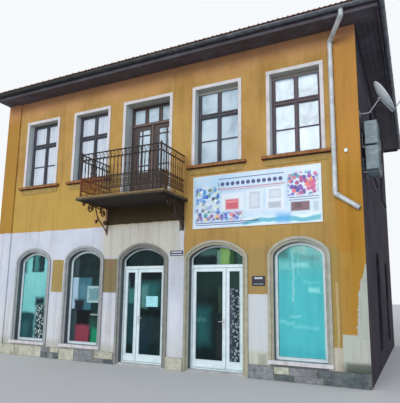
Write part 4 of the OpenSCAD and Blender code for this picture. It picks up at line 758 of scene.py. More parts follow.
# the top rails of the two right windows are painted pale: painted light, where the head shades
# them
painted_light_top_rail = add(old_paint, "MapRange",
    {"From Min": 6.655, "From Max": 6.675, "To Max": 0.85, "Value": apart.outputs[2]})
eastern = add(old_paint, "MapRange",
    {"From Min": 1.0, "From Max": 1.2, "Value": apart.outputs[0]})
painted_light_top_rail = add(old_paint, "Math", {"operation": "MULTIPLY", 0: painted_light_top_rail, 1: eastern})
tone = add(old_paint, "MixRGB", {"Color2": "#c3c4bd", "Fac": painted_light_top_rail, "Color1": tone})
tone = stained(old_paint, tone, "#6a5258", "X", 3.0, 3.2, 0.5)
wear(old_paint, {"Base Color": tone, "Roughness": 0.6}, (grain, 0.3, 0.002))
dress(["upper_windows"], old_paint)

sash = []
for s in (-1, 1):
    a, b = sorted((s * 0.030, s * 0.505))
    sash.append(open_frame("sash", a, b, 4.840, 6.029, 0.018, -4.130, -4.070))
    sash.append(open_frame("sash", a, b, 6.119, 6.680, 0.018, -4.130, -4.070))
    sash.append(block("bar", a + 0.016, b - 0.016, -4.122, -4.094, 5.424, 5.446))
sash.append(block("cover_strip", -0.024, 0.024, -4.142, -4.128, 4.845, 6.024))
sash.append(block("transom_drip", -0.5, 0.5, -4.152, -4.121, 6.028, 6.056))
sash.append(block("transom_fillet", -0.5, 0.5, -4.140, -4.121, 6.098, 6.116))
sash.append(block("weather_bar", -0.5, 0.5, -4.155, -4.121, 4.842, 4.872))
window_sash = soften(joined("sash_set", sash), 0.004, 2, 60)
window_middles = (-3.705, -1.868, 1.945, 3.842)
fitted = [twin(window_sash, (x, 0, 0)) for x in window_middles]
settle(joined("front_sashes", fitted), "building", "window_timber", old_paint)
turned = Matrix.Rotation(math.pi, 4, "Z")
fitted = [twin(window_sash, turned @ Matrix.Translation((x, 0, 0))) for x in window_middles]
settle(joined("rear_sashes", fitted), "building", "window_timber", old_paint)
quarter = Matrix.Rotation(math.pi / 2, 4, "Z")
fitted = [twin(window_sash, Matrix.Translation((0.88, y, 0)) @ quarter)
    for y in (-8.6 / 6, 8.6 / 5)]
settle(joined("flank_sashes", fitted), "building", "window_timber", old_paint)
bpy.data.objects.remove(window_sash)

# window glass: drawn sheet glass, its colour painted with the bright sky as a painted
# reflection, with pale gathered curtains behind it in the two windows at the left
sky_glass, spot = new_material("sheet_glass_with_sky")
_, tone = mottled(sky_glass, spot,
    {"Scale": 1.6, "Detail": 5, "Roughness": 0.55, "Distortion": 0.6}, (0.30, "#9fb3c1"),
    (0.44, "#c0d6e4"), (0.60, "#cfe3f0"), (0.75, "#dcecf5"))
folds = add(sky_glass, "Mapping", {"Scale": (26, 1, 0.7), "Vector": spot})
folds = add(sky_glass, "TexNoise", {"Scale": 1.0, "Detail": 3, "Vector": folds})
folds = add(sky_glass, "ValToRGB", {"stops": [
    (0.36, "#bfc3d4"), (0.50, "#d8dfec"), (0.62, "#e6ebf3")], 0: folds})
tone = stained(sky_glass, tone, folds, "X", -0.9, -1.2, 0.75)
wear(sky_glass, {"Base Color": tone, "Roughness": 0.06, "IOR": 1.5})
dress(["upper_glass"], sky_glass)


# Balcony door: two glazed leaves with a panel below, in brown oil paint. Thin
# bars part a margin of glass at the outer side, top and bottom of each leaf.
def pressed(piece, *steps):
    """Insets the side towards the street step by step, each by a width and a depth."""
    bpy.ops.object.mode_set(mode="EDIT")
    bpy.ops.mesh.select_all(action="DESELECT")
    bpy.ops.object.mode_set(mode="OBJECT")
    for face in piece.data.polygons:
        face.select = face.normal.y < -0.5
    bpy.ops.object.mode_set(mode="EDIT")
    for width, depth in steps:
        bpy.ops.mesh.inset(thickness=width, depth=depth)
    bpy.ops.object.mode_set(mode="OBJECT")
    return piece


brown_paint, spot = new_material("brown_oil_paint_on_pine")
grain = add(brown_paint, "Mapping", {"Scale": (9, 9, 2.0), "Vector": spot})
grain = add(brown_paint, "TexNoise",
    {"Scale": 3.0, "Detail": 8, "Roughness": 0.7, "Vector": grain})
tone = add(brown_paint, "ValToRGB", {"stops": [
    (0.30, "#2b2321"), (0.50, "#423532"), (0.70, "#5f504b")], 0: grain})
# the frontmost mouldings are painted a paler pink-brown: painted highlight
tone = stained(brown_paint, tone, "#927c78", "Y", -4.009, -4.013, 0.35)
wear(brown_paint, {"Base Color": tone, "Roughness": 0.6}, (grain, 0.3, 0.002))
dress(["balcony_door"], brown_paint)

trim = []
for s in (-1, 1):
    a, b = (-0.495, -0.100) if s < 0 else (0.130, 0.522)
    outer = -0.372 if s < 0 else 0.388
    trim.append(open_frame("bead", a, b, 4.87, 6.09, 0.020, -4.014, -3.960))
    trim.append(block("stile", *((-0.565, -0.485) if s < 0 else (0.055, 0.140)), -4.003, -3.972,
        4.86, 6.10))
    trim.append(block("bar", outer - 0.013, outer + 0.013, -3.998, -3.972, 4.88, 6.08))
    for z in (5.08, 5.92):
        trim.append(block("bar", a + 0.01, b - 0.01, -3.996, -3.972, z - 0.013, z + 0.013))
    a, b = sorted((-0.03 + s * 0.09, -0.03 + s * 0.53))
    panel = block("panel", a + 0.01, b - 0.01, -4.012, -3.998, 4.20, 4.78)
    trim.append(pressed(panel, (0.030, 0), (0.035, -0.010), (0.020, 0.008)))
for i in range(3):
    third = (1.24 - 0.12) / 3
    a = -0.65 + i * (third + 0.06)
    trim.append(open_frame("fan_bead", a, a + third, 6.24, 6.68, 0.018, -4.012, -3.960))
trim.append(block("astragal", -0.055, -0.005, -4.026, -4.001, 4.10, 6.17))
trim.append(block("cornice", -0.65, 0.59, -4.038, -4.001, 6.175, 6.235))
trim.append(block("kick_rail", -0.64, 0.58, -4.016, -4.001, 4.075, 4.17))
settle(soften(joined("balcony_door_trim", trim), 0.004, 2, 60), "building", "window_timber",
    brown_paint)


# Shop windows and doors: white PVC profiles with thick welded frames. A black
# rubber seal holds each pane, and a rounded bead stands round it.
pvc, spot = new_material("white_pvc_profile")
_, tone = mottled(pvc, spot, {"Scale": 5, "Detail": 6, "Roughness": 0.65},
    (0.28, "#c9dce2"), (0.48, "#daebf1"), (0.72, "#e8f5f8"))
wear(pvc, {"Base Color": tone, "Roughness": 0.35})
dress(["shop_windows", "door_frames", "left_main_leaf", "left_side_leaf",
       "right_main_leaf", "right_side_leaf"], pvc)

rubber, spot = new_material("black_rubber_seal")
_, tone = mottled(rubber, spot, {"Scale": 20, "Detail": 3}, (0.3, "#16191b"), (0.7, "#24282b"))
wear(rubber, {"Base Color": tone, "Roughness": 0.7})


def arch_line(middle, half, haunch, foot, inside):
    """Points round an arched opening, from its left foot over the crown to the right one."""
    spring, rise = 2.520, 0.320
    crown = ((half - haunch) ** 2 + rise ** 2 - haunch ** 2) / (2 * (rise - haunch))
    turn = math.atan2(crown - rise, half - haunch)
    points = [(half - inside, foot)]
    for i in range(7):
        a = turn * i / 6
        points.append((half - haunch + (haunch - inside) * math.cos(a),
            spring + (haunch - inside) * math.sin(a)))
    for i in range(1, 10):
        a = turn + (math.pi / 2 - turn) * i / 9
        points.append(((crown - inside) * math.cos(a),
            spring + rise - crown + (crown - inside) * math.sin(a)))
    left = [(-x, z) for x, z in reversed(points[:-1])]
    return [(middle + x, z) for x, z in points + left]


def round_bar(name, points, radius, closed=False, fine=1):
    """A round bar along these points: a line given a depth, and made a mesh."""
    line = bpy.data.curves.new(name, "CURVE")
    line.dimensions = "3D"
    line.bevel_depth, line.bevel_resolution, line.use_fill_caps = radius, fine, True
    path = line.splines.new("POLY")
    path.points.add(len(points) - 1)
    for place, point in zip(path.points, points):
        place.co = (*point, 1)
    path.use_cyclic_u = closed
    piece = bpy.data.objects.new(name, line)
    bpy.context.scene.collection.objects.link(piece)
    alone(piece)
    bpy.ops.object.convert(target="MESH")
    return bpy.context.object


seals, beads = [], []
for middle in (-3.705, -1.868, 3.842):
    outline = arch_line(middle, 0.540, 0.190, 0.462, 0.062)
    seals.append(round_bar("seal", [(x, -4.152, z) for x, z in outline], 0.006, True))
    outline = arch_line(middle, 0.540, 0.190, 0.454, 0.054)
    beads.append(round_bar("bead", [(x, -4.181, z) for x, z in outline], 0.010, True))
for middle, half in ((-0.030, 0.620), (1.945, 0.665)):
    outline = arch_line(middle, half, 0.120, 2.400, 0.038)
    seals.append(round_bar("seal", [(x, -4.152, z) for x, z in outline], 0.006, True))
    outline = arch_line(middle, half, 0.120, 2.394, 0.032)
    beads.append(round_bar("bead", [(x, -4.181, z) for x, z in outline], 0.007, True))
settle(joined("shop_window_seals", seals), "building", "pvc", rubber)
settle(joined("shop_window_beads", beads), "building", "pvc", pvc)


# Door leaves: each holds one tall pane. The seals and beads turn with their
# leaf, and a drip bar crosses the foot of each leaf.
for name in ("left_side", "left_main", "right_main", "right_side"):
    body = name + "_door"
    low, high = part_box(name + "_glass")
    seal = open_frame(name + "_seal", low.x - 0.003, high.x + 0.003, low.z - 0.003,
        high.z + 0.003, 0.010, -4.149, -4.145)
    settle(seal, body, "pvc", rubber)
    parts = [open_frame("bead", low.x - 0.016, high.x + 0.016, low.z - 0.016, high.z + 0.016,
        0.014, -4.180, -4.168)]
    leaf_low, leaf_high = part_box(name + "_leaf")
    parts.append(block("drip_bar", leaf_low.x + 0.02, leaf_high.x - 0.02, -4.183, -4.169, 0.105,
        0.135))
    settle(soften(joined(name + "_beads", parts), 0.004, 2, 60), body, "pvc", pvc)


# Handles: cast aluminium levers on long back plates, satin anodised, one on
# each face of the two main leaves, over a profile cylinder lock.
satin, spot = new_material("satin_anodised_aluminium")
_, tone = mottled(satin, spot, {"Scale": 60, "Detail": 3}, (0.3, "#b8bcbf"), (0.7, "#d6d9db"))
wear(satin, {"Base Color": tone, "Metallic": 0.9, "Roughness": 0.35})
for name, x, way in (("left", -0.184, 1), ("right", 2.110, -1)):
    parts = []
    for face, y in ((-1, -4.170), (1, -4.110)):
        plate = block("plate", x - 0.016, x + 0.016, y, y + face * 0.008, 0.966, 1.186)
        parts.append(soften(plate, 0.003, 2))
        parts.append(soften(primitive(bpy.ops.mesh.primitive_cylinder_add, vertices=24,
            radius=0.013, depth=0.014, location=(x, y + face * 0.014, 1.12),
            rotation=(math.pi / 2, 0, 0)), 0.002, 2))
        path = [(x + way * a, y + face * b, 1.12) for a, b in (
            (0, 0.010), (0, 0.036), (0.004, 0.044), (0.014, 0.048), (0.11, 0.048),
            (0.122, 0.044))]
        parts.append(round_bar("lever", path, 0.0085, False, 3))
        parts.append(soften(primitive(bpy.ops.mesh.primitive_cylinder_add, vertices=16,
            radius=0.008, depth=0.010, location=(x, y + face * 0.011, 1.03),
            rotation=(math.pi / 2, 0, 0)), 0.001, 1))
        for z in (0.982, 1.17):
            parts.append(primitive(bpy.ops.mesh.primitive_uv_sphere_add, segments=12,
                ring_count=6, radius=0.005, location=(x, y + face * 0.008, z)))
    settle(joined(name + "_levers", parts), name + "_main_door", "handle_metal", satin,
        name + "_door_handles")


# Shop glass: float glass, partly covered inside with a turquoise film. The dark
# room, the things near the panes and the street's reflections show in the rest, painted
# into the glass's colour: the room's darkness as painted shade, the reflections and pale
# sheen lines on the film as painted reflections.
shop_glass, spot = new_material("shop_glass_and_film")
lumps = add(shop_glass, "TexNoise", {"Scale": 5, "Detail": 7, "Roughness": 0.7, "Vector": spot})
shift = add(shop_glass, "VectorMath",
    {"operation": "SUBTRACT", 1: (0.5, 0.5, 0.5), 0: lumps.outputs["Color"]})
shift = add(shop_glass, "VectorMath", {"operation": "SCALE", "Scale": 0.17, 0: shift})
loose = add(shop_glass, "VectorMath", {"operation": "ADD", 0: spot, 1: shift})
cloud = add(shop_glass, "TexNoise", {"Scale": 1.7, "Detail": 6, "Roughness": 0.6, "Vector": spot})
room = add(shop_glass, "ValToRGB", {"stops": [
    (0.30, "#0c191c"), (0.50, "#13292b"), (0.70, "#22403f")], 0: cloud})
lace = add(shop_glass, "TexVoronoi", {"Scale": 16, "Vector": loose})
lace = add(shop_glass, "ValToRGB", {"stops": [
    (0.20, "#c9d6d6"), (0.38, "#8fa5a8"), (0.50, "#24393e")], 0: lace.outputs["Distance"]})
look = room
for place, x0, x1, z0, z1, edge, strength, colour in [
    (spot, -4.30, -3.10, 0.3, 3.0, 0.01, 1.0, "#78c6c6"),
    (loose, -4.30, -3.10, 1.9, 3.0, 0.30, 0.5, "#8ad6d4"),
    (loose, -3.90, -3.44, 2.29, 2.77, 0.02, 1.0, "#15393d"),
    (loose, -3.82, -3.66, 2.32, 2.77, 0.03, 0.8, "#3f8a86"),
    (loose, -4.26, -4.10, 2.27, 2.62, 0.04, 0.8, "#3f6670"),
    (loose, -4.30, -3.68, 0.3, 1.16, 0.06, 1.0, "#1d474b"),
    (loose, -4.20, -3.90, 0.3, 0.90, 0.10, 0.6, "#35686a"),
    (loose, -3.66, -3.10, 0.3, 1.38, 0.05, 1.0, lace),
    (loose, -3.70, -3.34, 1.36, 1.58, 0.07, 1.0, "#0f2a2f"),
    (spot, -2.45, -1.28, 0.3, 3.0, 0.01, 1.0, room),
    (loose, -2.42, -2.17, 2.15, 2.8, 0.05, 0.6, "#4a6064"),
    (spot, -2.40, -2.14, 1.30, 2.13, 0.010, 1.0, "#a9c6dc"),
    (spot, -2.157, -1.70, 1.28, 2.12, 0.03, 1.0, "#3b6b79"),
    (loose, -2.10, -1.78, 1.55, 1.95, 0.10, 0.5, "#5e8f9c"),
    (loose, -2.25, -1.95, 1.25, 1.55, 0.05, 1.0, "#1c2630"),
    (spot, -1.84, -1.30, 1.47, 1.90, 0.010, 1.0, "#a3c3c6"),
    (loose, -1.79, -1.34, 1.53, 1.84, 0.03, 0.85, "#5d8c93"),
    (spot, -1.82, -1.30, 1.145, 1.180, 0.008, 1.0, "#9fa9a6"),
    (loose, -2.17, -1.70, 0.88, 1.27, 0.05, 1.0, "#14171a"),
    (loose, -2.36, -2.17, 0.46, 1.27, 0.05, 0.7, "#3d4f55"),
    (loose, -2.17, -1.72, 0.40, 0.88, 0.05, 1.0, "#8b3f4f"),
    (loose, -1.64, -1.42, 0.40, 0.84, 0.06, 1.0, "#1f8a64"),
    (loose, -1.72, -1.46, 0.80, 1.05, 0.08, 0.6, "#2f5c50"),
    (loose, -0.16, 0.40, 1.50, 2.00, 0.16, 0.85, "#2c7474"),
    (loose, -0.16, 0.06, 1.36, 1.92, 0.08, 0.6, "#6fb3ae"),
    (loose, -0.16, 0.52, 2.06, 2.30, 0.04, 0.9, "#0e1822"),
    (loose, -0.16, 0.52, 1.18, 1.36, 0.04, 0.9, "#0d1b18"),
    (loose, -0.16, 0.52, 0.55, 1.16, 0.08, 0.6, "#2c4347"),
    (loose, -0.16, 0.12, 0.30, 0.80, 0.15, 0.5, "#1f3c50"),
    (loose, -0.46, -0.26, 1.86, 2.30, 0.03, 0.9, "#0e1828"),
    (loose, -0.60, -0.26, 1.48, 1.84, 0.05, 0.8, "#45938d"),
    (loose, -0.58, -0.50, 1.80, 2.10, 0.03, 0.6, "#58a8a8"),
    (loose, -0.60, -0.26, 0.50, 1.44, 0.08, 0.7, "#25505a"),
    (loose, 1.38, 2.10, 1.75, 2.3, 0.25, 0.7, "#17382f"),
    (loose, 1.66, 1.92, 1.37, 1.66, 0.06, 0.9, "#0d1413"),
    (loose, 1.38, 1.74, 0.62, 1.40, 0.18, 0.85, "#2f7072"),
    (loose, 1.38, 1.66, 1.10, 1.18, 0.03, 0.5, "#5f9a9d"),
    (loose, 1.78, 1.92, 0.26, 1.36, 0.06, 0.6, "#14232a"),
    (loose, 1.92, 2.06, 0.30, 1.20, 0.06, 0.5, "#3a3d42"),
    (loose, 1.96, 2.04, 1.3, 1.9, 0.04, 0.6, "#46604f"),
    (spot, 2.20, 2.50, 1.86, 2.30, 0.01, 1.0, "#2e4a40"),
    (spot, 2.20, 2.50, 0.2, 1.86, 0.012, 1.0, lace),
    (loose, 2.22, 2.32, 0.2, 1.86, 0.05, 0.5, "#6f6f88"),
    (loose, 2.00, 2.24, 2.40, 2.80, 0.03, 1.0, "#86b86a"),
    (loose, 1.92, 2.02, 2.40, 2.74, 0.03, 0.8, "#7fae9c"),
    (loose, 2.24, 2.34, 2.40, 2.76, 0.03, 0.8, "#3f6a3a"),
    (loose, 2.40, 2.54, 2.40, 2.66, 0.03, 0.7, "#46705f"),
    (loose, 1.46, 1.90, 2.62, 2.80, 0.05, 0.6, "#5f8f86"),
    (loose, 2.08, 2.22, 2.45, 2.72, 0.05, 0.6, "#9fce7c"),
    (spot, 3.25, 4.45, 0.3, 3.0, 0.01, 1.0, "#52c0c6"),
    (loose, 3.25, 4.45, 2.25, 3.0, 0.25, 0.75, "#67b6b4"),
    (loose, 3.34, 3.60, 2.52, 2.80, 0.06, 0.8, "#447f79"),
    (loose, 3.70, 3.98, 2.60, 2.80, 0.05, 0.6, "#93c9b8"),
    (loose, 3.84, 4.24, 2.46, 2.57, 0.03, 0.6, "#5b9793"),
    # pale lines on the turquoise film: painted sheen
    (loose, 3.675, 3.715, 1.60, 2.68, 0.020, 0.6, "#a0e2e2"),
    (loose, 3.78, 3.80, 2.10, 2.50, 0.02, 0.5, "#8fdcdf"),
    (loose, 3.40, 3.62, 2.28, 2.42, 0.06, 0.5, "#8fe0e2"),
    (loose, 3.70, 4.02, 2.30, 2.40, 0.04, 0.6, "#9be8ea"),
    (loose, 4.00, 4.24, 1.78, 1.87, 0.04, 0.7, "#9ff0f2"),
    (loose, 3.90, 4.24, 1.96, 2.02, 0.03, 0.35, "#86dce0"),
    (loose, 3.36, 3.70, 1.12, 1.19, 0.03, 0.45, "#8ce2e8"),
    (loose, 3.60, 3.84, 1.26, 1.32, 0.02, 0.5, "#8ce2e8"),
    (loose, 3.70, 4.20, 1.05, 1.10, 0.03, 0.4, "#8ce2e8"),
    (spot, 3.25, 3.37, 0.3, 2.6, 0.02, 0.5, "#3f9aa2"),
    (loose, 3.35, 4.35, 0.30, 0.62, 0.10, 0.35, "#3fa6b8"),
]:
    look = painted_area(shop_glass, place, look, x0, x1, z0, z1, edge, strength, colour)
# the glass of the two doors is painted darker still: painted shade of the dark room
look = painted_area(shop_glass, spot, look, -0.7, 2.7, 0.0, 3.0, 0.02, 0.3, "#08191b")
look = stained(shop_glass, look, room, "Y", -4.05, -3.95)
streaks = add(shop_glass, "Mapping", {"Scale": (7, 7, 1.1), "Vector": loose})
streaks = add(shop_glass, "TexNoise",
    {"Scale": 1.3, "Detail": 7, "Roughness": 0.65, "Vector": streaks})
look = add(shop_glass, "MixRGB",
    {"blend_type": "SOFT_LIGHT", "Fac": 0.45, "Color1": look, "Color2": streaks})
wear(shop_glass, {"Base Color": look, "Roughness": 0.08, "Specular IOR Level": 0.15})
dress(["ground_glass", "left_main_glass", "left_side_glass", "right_main_glass",
    "right_side_glass"], shop_glass)

# a blank notice sheet of tinted paper is taped inside the left door's pane
paper, spot = new_material("tinted_notice_paper")
_, tone = mottled(paper, spot, {"Scale": 9, "Detail": 3}, (0.3, "#8fdbe6"), (0.7, "#aeeaf1"))
wear(paper, {"Base Color": tone, "Roughness": 0.6})
sheet = block("notice_sheet", 0.012, 0.350, -4.1472, -4.1446, 1.405, 1.660)
edit(bpy.ops.mesh.subdivide, number_cuts=6)
for v in sheet.data.vertices:
    v.co.y -= 0.0016 * math.sin((v.co.x - 0.012) / 0.338 * math.pi) ** 2
settle(sheet, "left_main_door", "shop_glass", paper)


# Balcony slab: reinforced concrete with a trowelled edge, tan, painted dark brown on the
# lower part of its edge and nearly black underneath: painted shade.
slab, spot = new_material("slab_concrete_with_painted_shade")
cloud, tone = mottled(slab, spot, {"Scale": 5, "Detail": 8, "Roughness": 0.7},
    (0.30, "#665638"), (0.50, "#85714c"), (0.70, "#a08b62"))
# the lower part of the edge, and below it the faces that point down, are painted near black:
# painted shade
tone = stained(slab, tone, "#2f2822", "Z", 3.972, 3.952, 0.85)
facing = add(slab, "NewGeometry")
facing = add(slab, "SeparateXYZ", {0: facing.outputs["Normal"]})
tone = stained(slab, tone, "#2b2620", facing.outputs[2], -0.3, -0.8, 0.92)
wear(slab, {"Base Color": tone, "Roughness": 0.9}, (cloud, 0.6, 0.01))
dress(["balcony_slab"], slab)


# Balcony railing: forged bars, rusty under the last of a black paint. A frieze
# of S scrolls runs under the hand rail, and paired C scrolls fill the foot
# between the balusters, which are riveted to the rails.
def scroll_line(kind, turns, width, height=None):
    """Points of a forged scroll: its bend tightens evenly towards both ends."""
    points, x, z = [], 0.0, 0.0
    rate = 2 * math.radians(360 * turns)
    for i in range(-26, 27):
        s = i / 26
        heading = rate * s * s / 2 if kind == "S" else rate * s * abs(s) / 2 + s * 1.2
        points.append((x, z))
        x += math.cos(heading) / 26
        z += math.sin(heading) / 26
    xs, zs = [p[0] for p in points], [p[1] for p in points]
    grow = width / (max(xs) - min(xs))
    tall = grow if height is None else height / (max(zs) - min(zs))
    mid_x, mid_z = (max(xs) + min(xs)) / 2, (max(zs) + min(zs)) / 2
    return [((px - mid_x) * grow, (pz - mid_z) * tall) for px, pz in points]


rust, spot = new_material("rusted_wrought_iron")
cloud = add(rust, "TexNoise", {"Scale": 11, "Detail": 8, "Roughness": 0.75, "Vector": spot})
apart = add(rust, "SeparateXYZ", {0: spot})
tone = add(rust, "ValToRGB", {"stops": [
    (0.40, "#1f1b1c"), (0.54, "#382e28"), (0.70, "#57452f")], 0: cloud})
red = add(rust, "ValToRGB", {"stops": [
    (0.36, "#4f2a1c"), (0.52, "#7c4420"), (0.70, "#a86a30")], 0: cloud})
low = add(rust, "MapRange", {"From Min": 4.62, "From Max": 4.36, "Value": apart.outputs[2]})
left = add(rust, "MapRange", {"From Min": -0.35, "From Max": -0.75, "Value": apart.outputs[0]})
redder = add(rust, "Math", {"operation": "MULTIPLY", 0: low, 1: left})
tone = add(rust, "MixRGB", {"Fac": redder, "Color1": tone, "Color2": red})
right = add(rust, "MapRange",
    {"From Min": 1.02, "From Max": 1.08, "To Max": 0.4, "Value": apart.outputs[0]})
behind = add(rust, "MapRange", {"From Min": -5.36, "From Max": -5.33, "Value": apart.outputs[1]})
right = add(rust, "Math", {"operation": "MULTIPLY", 0: right, 1: behind})
tone = add(rust, "MixRGB", {"Color2": "#8a6230", "Fac": right, "Color1": tone})
wear(rust, {"Base Color": tone, "Metallic": 0.2, "Roughness": 0.75}, (cloud, 0.6, 0.003))


def rail_run(name, length, pitch_of_bars):
    """One side of the railing along X from 0, at Y 0, standing on Z 0."""
    parts = [
        block("hand_rail", 0, length, -0.017, 0.017, 1.060, 1.080),
        block("second_rail", 0, length, -0.010, 0.010, 0.910, 0.930),
        block("bottom_rail", 0, length, -0.010, 0.010, 0.150, 0.170),
        block("scroll_rail", 0, length, -0.008, 0.008, 0.455, 0.469)]
    count = math.ceil(length / pitch_of_bars)
    pitch = length / count
    for i in range(1, count):
        x = i * pitch
        foot = 0.0 if i % 4 == 0 else 0.160
        head = 1.07 if i % 4 == 0 else 0.920
        parts.append(block("baluster", x - 0.007, x + 0.007, -0.007, 0.007, foot, head))
        collar = block("collar", x - 0.012, x + 0.012, -0.012, 0.012, 0.462, 0.496)
        parts.append(soften(collar, 0.004, 1))
        knop = block("knop", x - 0.013, x + 0.013, -0.013, 0.013, 0.640, 0.740)
        parts.append(soften(knop, 0.010, 2))
    line = scroll_line("S", 1.15, pitch * 0.96, 0.118)
    s_scroll = round_bar("s", [(x, 0, z) for x, z in line], 0.0048)
    line = scroll_line("C", 1.0, 0.135)
    c_scroll = round_bar("c", [(x, 0, z) for x, z in line], 0.0042)
    half, ring_r = pitch / 2 - 0.008, 0.030
    turns = [(math.cos(a * math.pi / 8), math.sin(a * math.pi / 8)) for a in range(16)]
    arch = round_bar("a", [(-half * c, 0, 0.858 + half * s) for c, s in turns[:9]], 0.0045)
    ring_bar = round_bar("o", [(ring_r * c, 0, ring_r * s) for c, s in turns], 0.0045, True)
    for i in range(count):
        mid = (i + 0.5) * pitch
        parts.append(twin(s_scroll, (mid, 0, 0.995)))
        parts.append(twin(arch, (mid, 0, 0)))
        for turn, side in ((90, -1), (-90, 1)):
            for z, way in ((0.385, turn), (0.240, -turn)):
                about = Matrix.Rotation(math.radians(way), 4, "Y")
                spot_on = Matrix.Translation((mid + side * pitch * 0.24, 0, z))
                parts.append(twin(c_scroll, spot_on @ about))
        parts.append(twin(ring_bar, (mid, 0, 0.076)))
        parts.append(block("foot_flat", i * pitch + 0.004, (i + 1) * pitch - 0.004, -0.006,
            0.006, 0.036, 0.044))
    for spare in (s_scroll, c_scroll, arch, ring_bar):
        bpy.data.objects.remove(spare)
    return joined(name, parts)


rail_left, rail_right, rail_line, deck = -1.170, 1.090, -5.390, 4.000
front_rail = rail_run("railing_front_bars", rail_right - rail_left, 0.112)
front_rail.data.transform(Matrix.Translation((rail_left, rail_line, deck)))
posts = [front_rail]
for x in (rail_left, rail_right):
    posts.append(soften(block("post", x - 0.017, x + 0.017, rail_line - 0.017, rail_line + 0.017,
        deck, deck + 1.085), 0.004, 1))
    finial = primitive(bpy.ops.mesh.primitive_uv_sphere_add, segments=16, ring_count=10,
        radius=0.019, location=(x, rail_line, deck + 1.100))
    for v in finial.data.vertices:
        v.co.z += 0.9 * max(0, v.co.z - deck - 1.108)
    posts.append(finial)
settle(joined("balcony_railing_front", posts), "building", "wrought_iron", rust, "railing_front")
side_rail = rail_run("railing_side_bars", 1.073, 0.112)
ends = [twin(side_rail,
    Matrix.Translation((x, -4.3, deck)) @ Matrix.Rotation(-math.pi / 2, 4, "Z"))
    for x in (rail_left, rail_right)]
settle(joined("balcony_railing_sides", ends), "building", "wrought_iron", rust, "railing_sides")
bpy.data.objects.remove(side_rail)


# Balcony brackets: flat bars under the slab and on the wall, joined by a long
# bent bar, with two large scrolls and small curls, forged from flat 46 x 32 mm bar.
iron_paint, spot = new_material("dark_brown_iron_paint")
cloud, tone = mottled(iron_paint, spot, {"Scale": 14, "Detail": 7, "Roughness": 0.7},
    (0.32, "#4d3427"), (0.52, "#755039"), (0.72, "#9a6e50"))
# the bars' brown is painted lighter to offset the slab's shade: painted light; beyond X 0.9 the
# right bracket stays near black
tone = stained(iron_paint, tone, "#1d1817", "X", 0.9, 1.0, 0.8)
wear(iron_paint, {"Base Color": tone, "Roughness": 0.7}, (cloud, 0.5, 0.003))


def curl(out, down, start_radius, end_radius, start_angle, turns):
    """A spiral in the bracket's plane: out from the wall and down from the slab."""
    points = []
    steps = int(abs(turns) * 18)
    for i in range(steps + 1):
        share = i / steps
        a = math.radians(start_angle + 360 * turns * share)
        r = start_radius + (end_radius - start_radius) * share
        points.append((out + r * math.cos(a), down + r * math.sin(a)))
    return points


def smooth(points, steps=5):
    """A finer line through these points, rounded between them."""
    fine = []
    for i in range(len(points) - 1):
        a, b, c, d = [Vector(points[max(0, min(len(points) - 1, i + k))]) for k in (-1, 0, 1, 2)]
        for k in range(steps):
            t = k / steps
            fine.append(tuple(0.5 * (2 * b + (c - a) * t + (2 * a - 5 * b + 4 * c - d) * t * t
                + (3 * b - a - 3 * c + d) * t ** 3)))
    return fine + [points[-1]]


s_bar = smooth([(0.545, 0.016), (0.505, 0.075), (0.465, 0.150), (0.425, 0.265), (0.350, 0.360),
    (0.250, 0.432), (0.160, 0.500), (0.075, 0.580), (0.016, 0.640)])
bars = [
    s_bar,
    smooth([(0.600, 0.024), (0.602, 0.100)], 3) + curl(0.706, 0.134, 0.106, 0.024, 175, 1.6),
    smooth([(0.305, 0.028), (0.312, 0.110)], 3) + curl(0.214, 0.168, 0.104, 0.024, 0, -1.6),
    smooth([(0.505, 0.022), (0.410, 0.062), (0.310, 0.066), (0.205, 0.024)], 4),
    curl(0.960, 0.058, 0.045, 0.014, -90, -1.1),
    smooth([(0.395, 0.330), (0.420, 0.385)], 3) + curl(0.452, 0.420, 0.046, 0.014, 200, 1.3),
    smooth([(0.022, 0.300), (0.048, 0.370)], 3) + curl(0.112, 0.385, 0.062, 0.016, 180, -1.4),
]
wall_face, slab_underside = -4.300, 3.920
for name, x in (("left", -1.170), ("right", 1.100)):
    parts = [
        soften(block("top_bar", x - 0.020, x + 0.020, -5.310, -4.300, 3.893, 3.919), 0.003, 1),
        soften(block("wall_bar", x - 0.020, x + 0.020, -4.326, -4.300, 3.221, 3.919), 0.003, 1)]
    for line in bars:
        path = [(x, wall_face - out, slab_underside - down) for out, down in line]
        bar = round_bar("scroll", path, 0.0160)
        for v in bar.data.vertices:
            v.co.x = x + (v.co.x - x) * 1.45
        parts.append(bar)
    for out, down in ((0.545, 0.045), (0.602, 0.075), (0.310, 0.080), (0.402, 0.300),
            (0.060, 0.590)):
        parts.append(soften(block("collar", x - 0.021, x + 0.021, -4.316 - out, -4.284 - out,
            3.906 - down, 3.934 - down), 0.004, 1))
    settle(joined("balcony_bracket_" + name, parts), "building", "wrought_iron", iron_paint,
           *(["balcony_brackets"] if name == "left" else []))


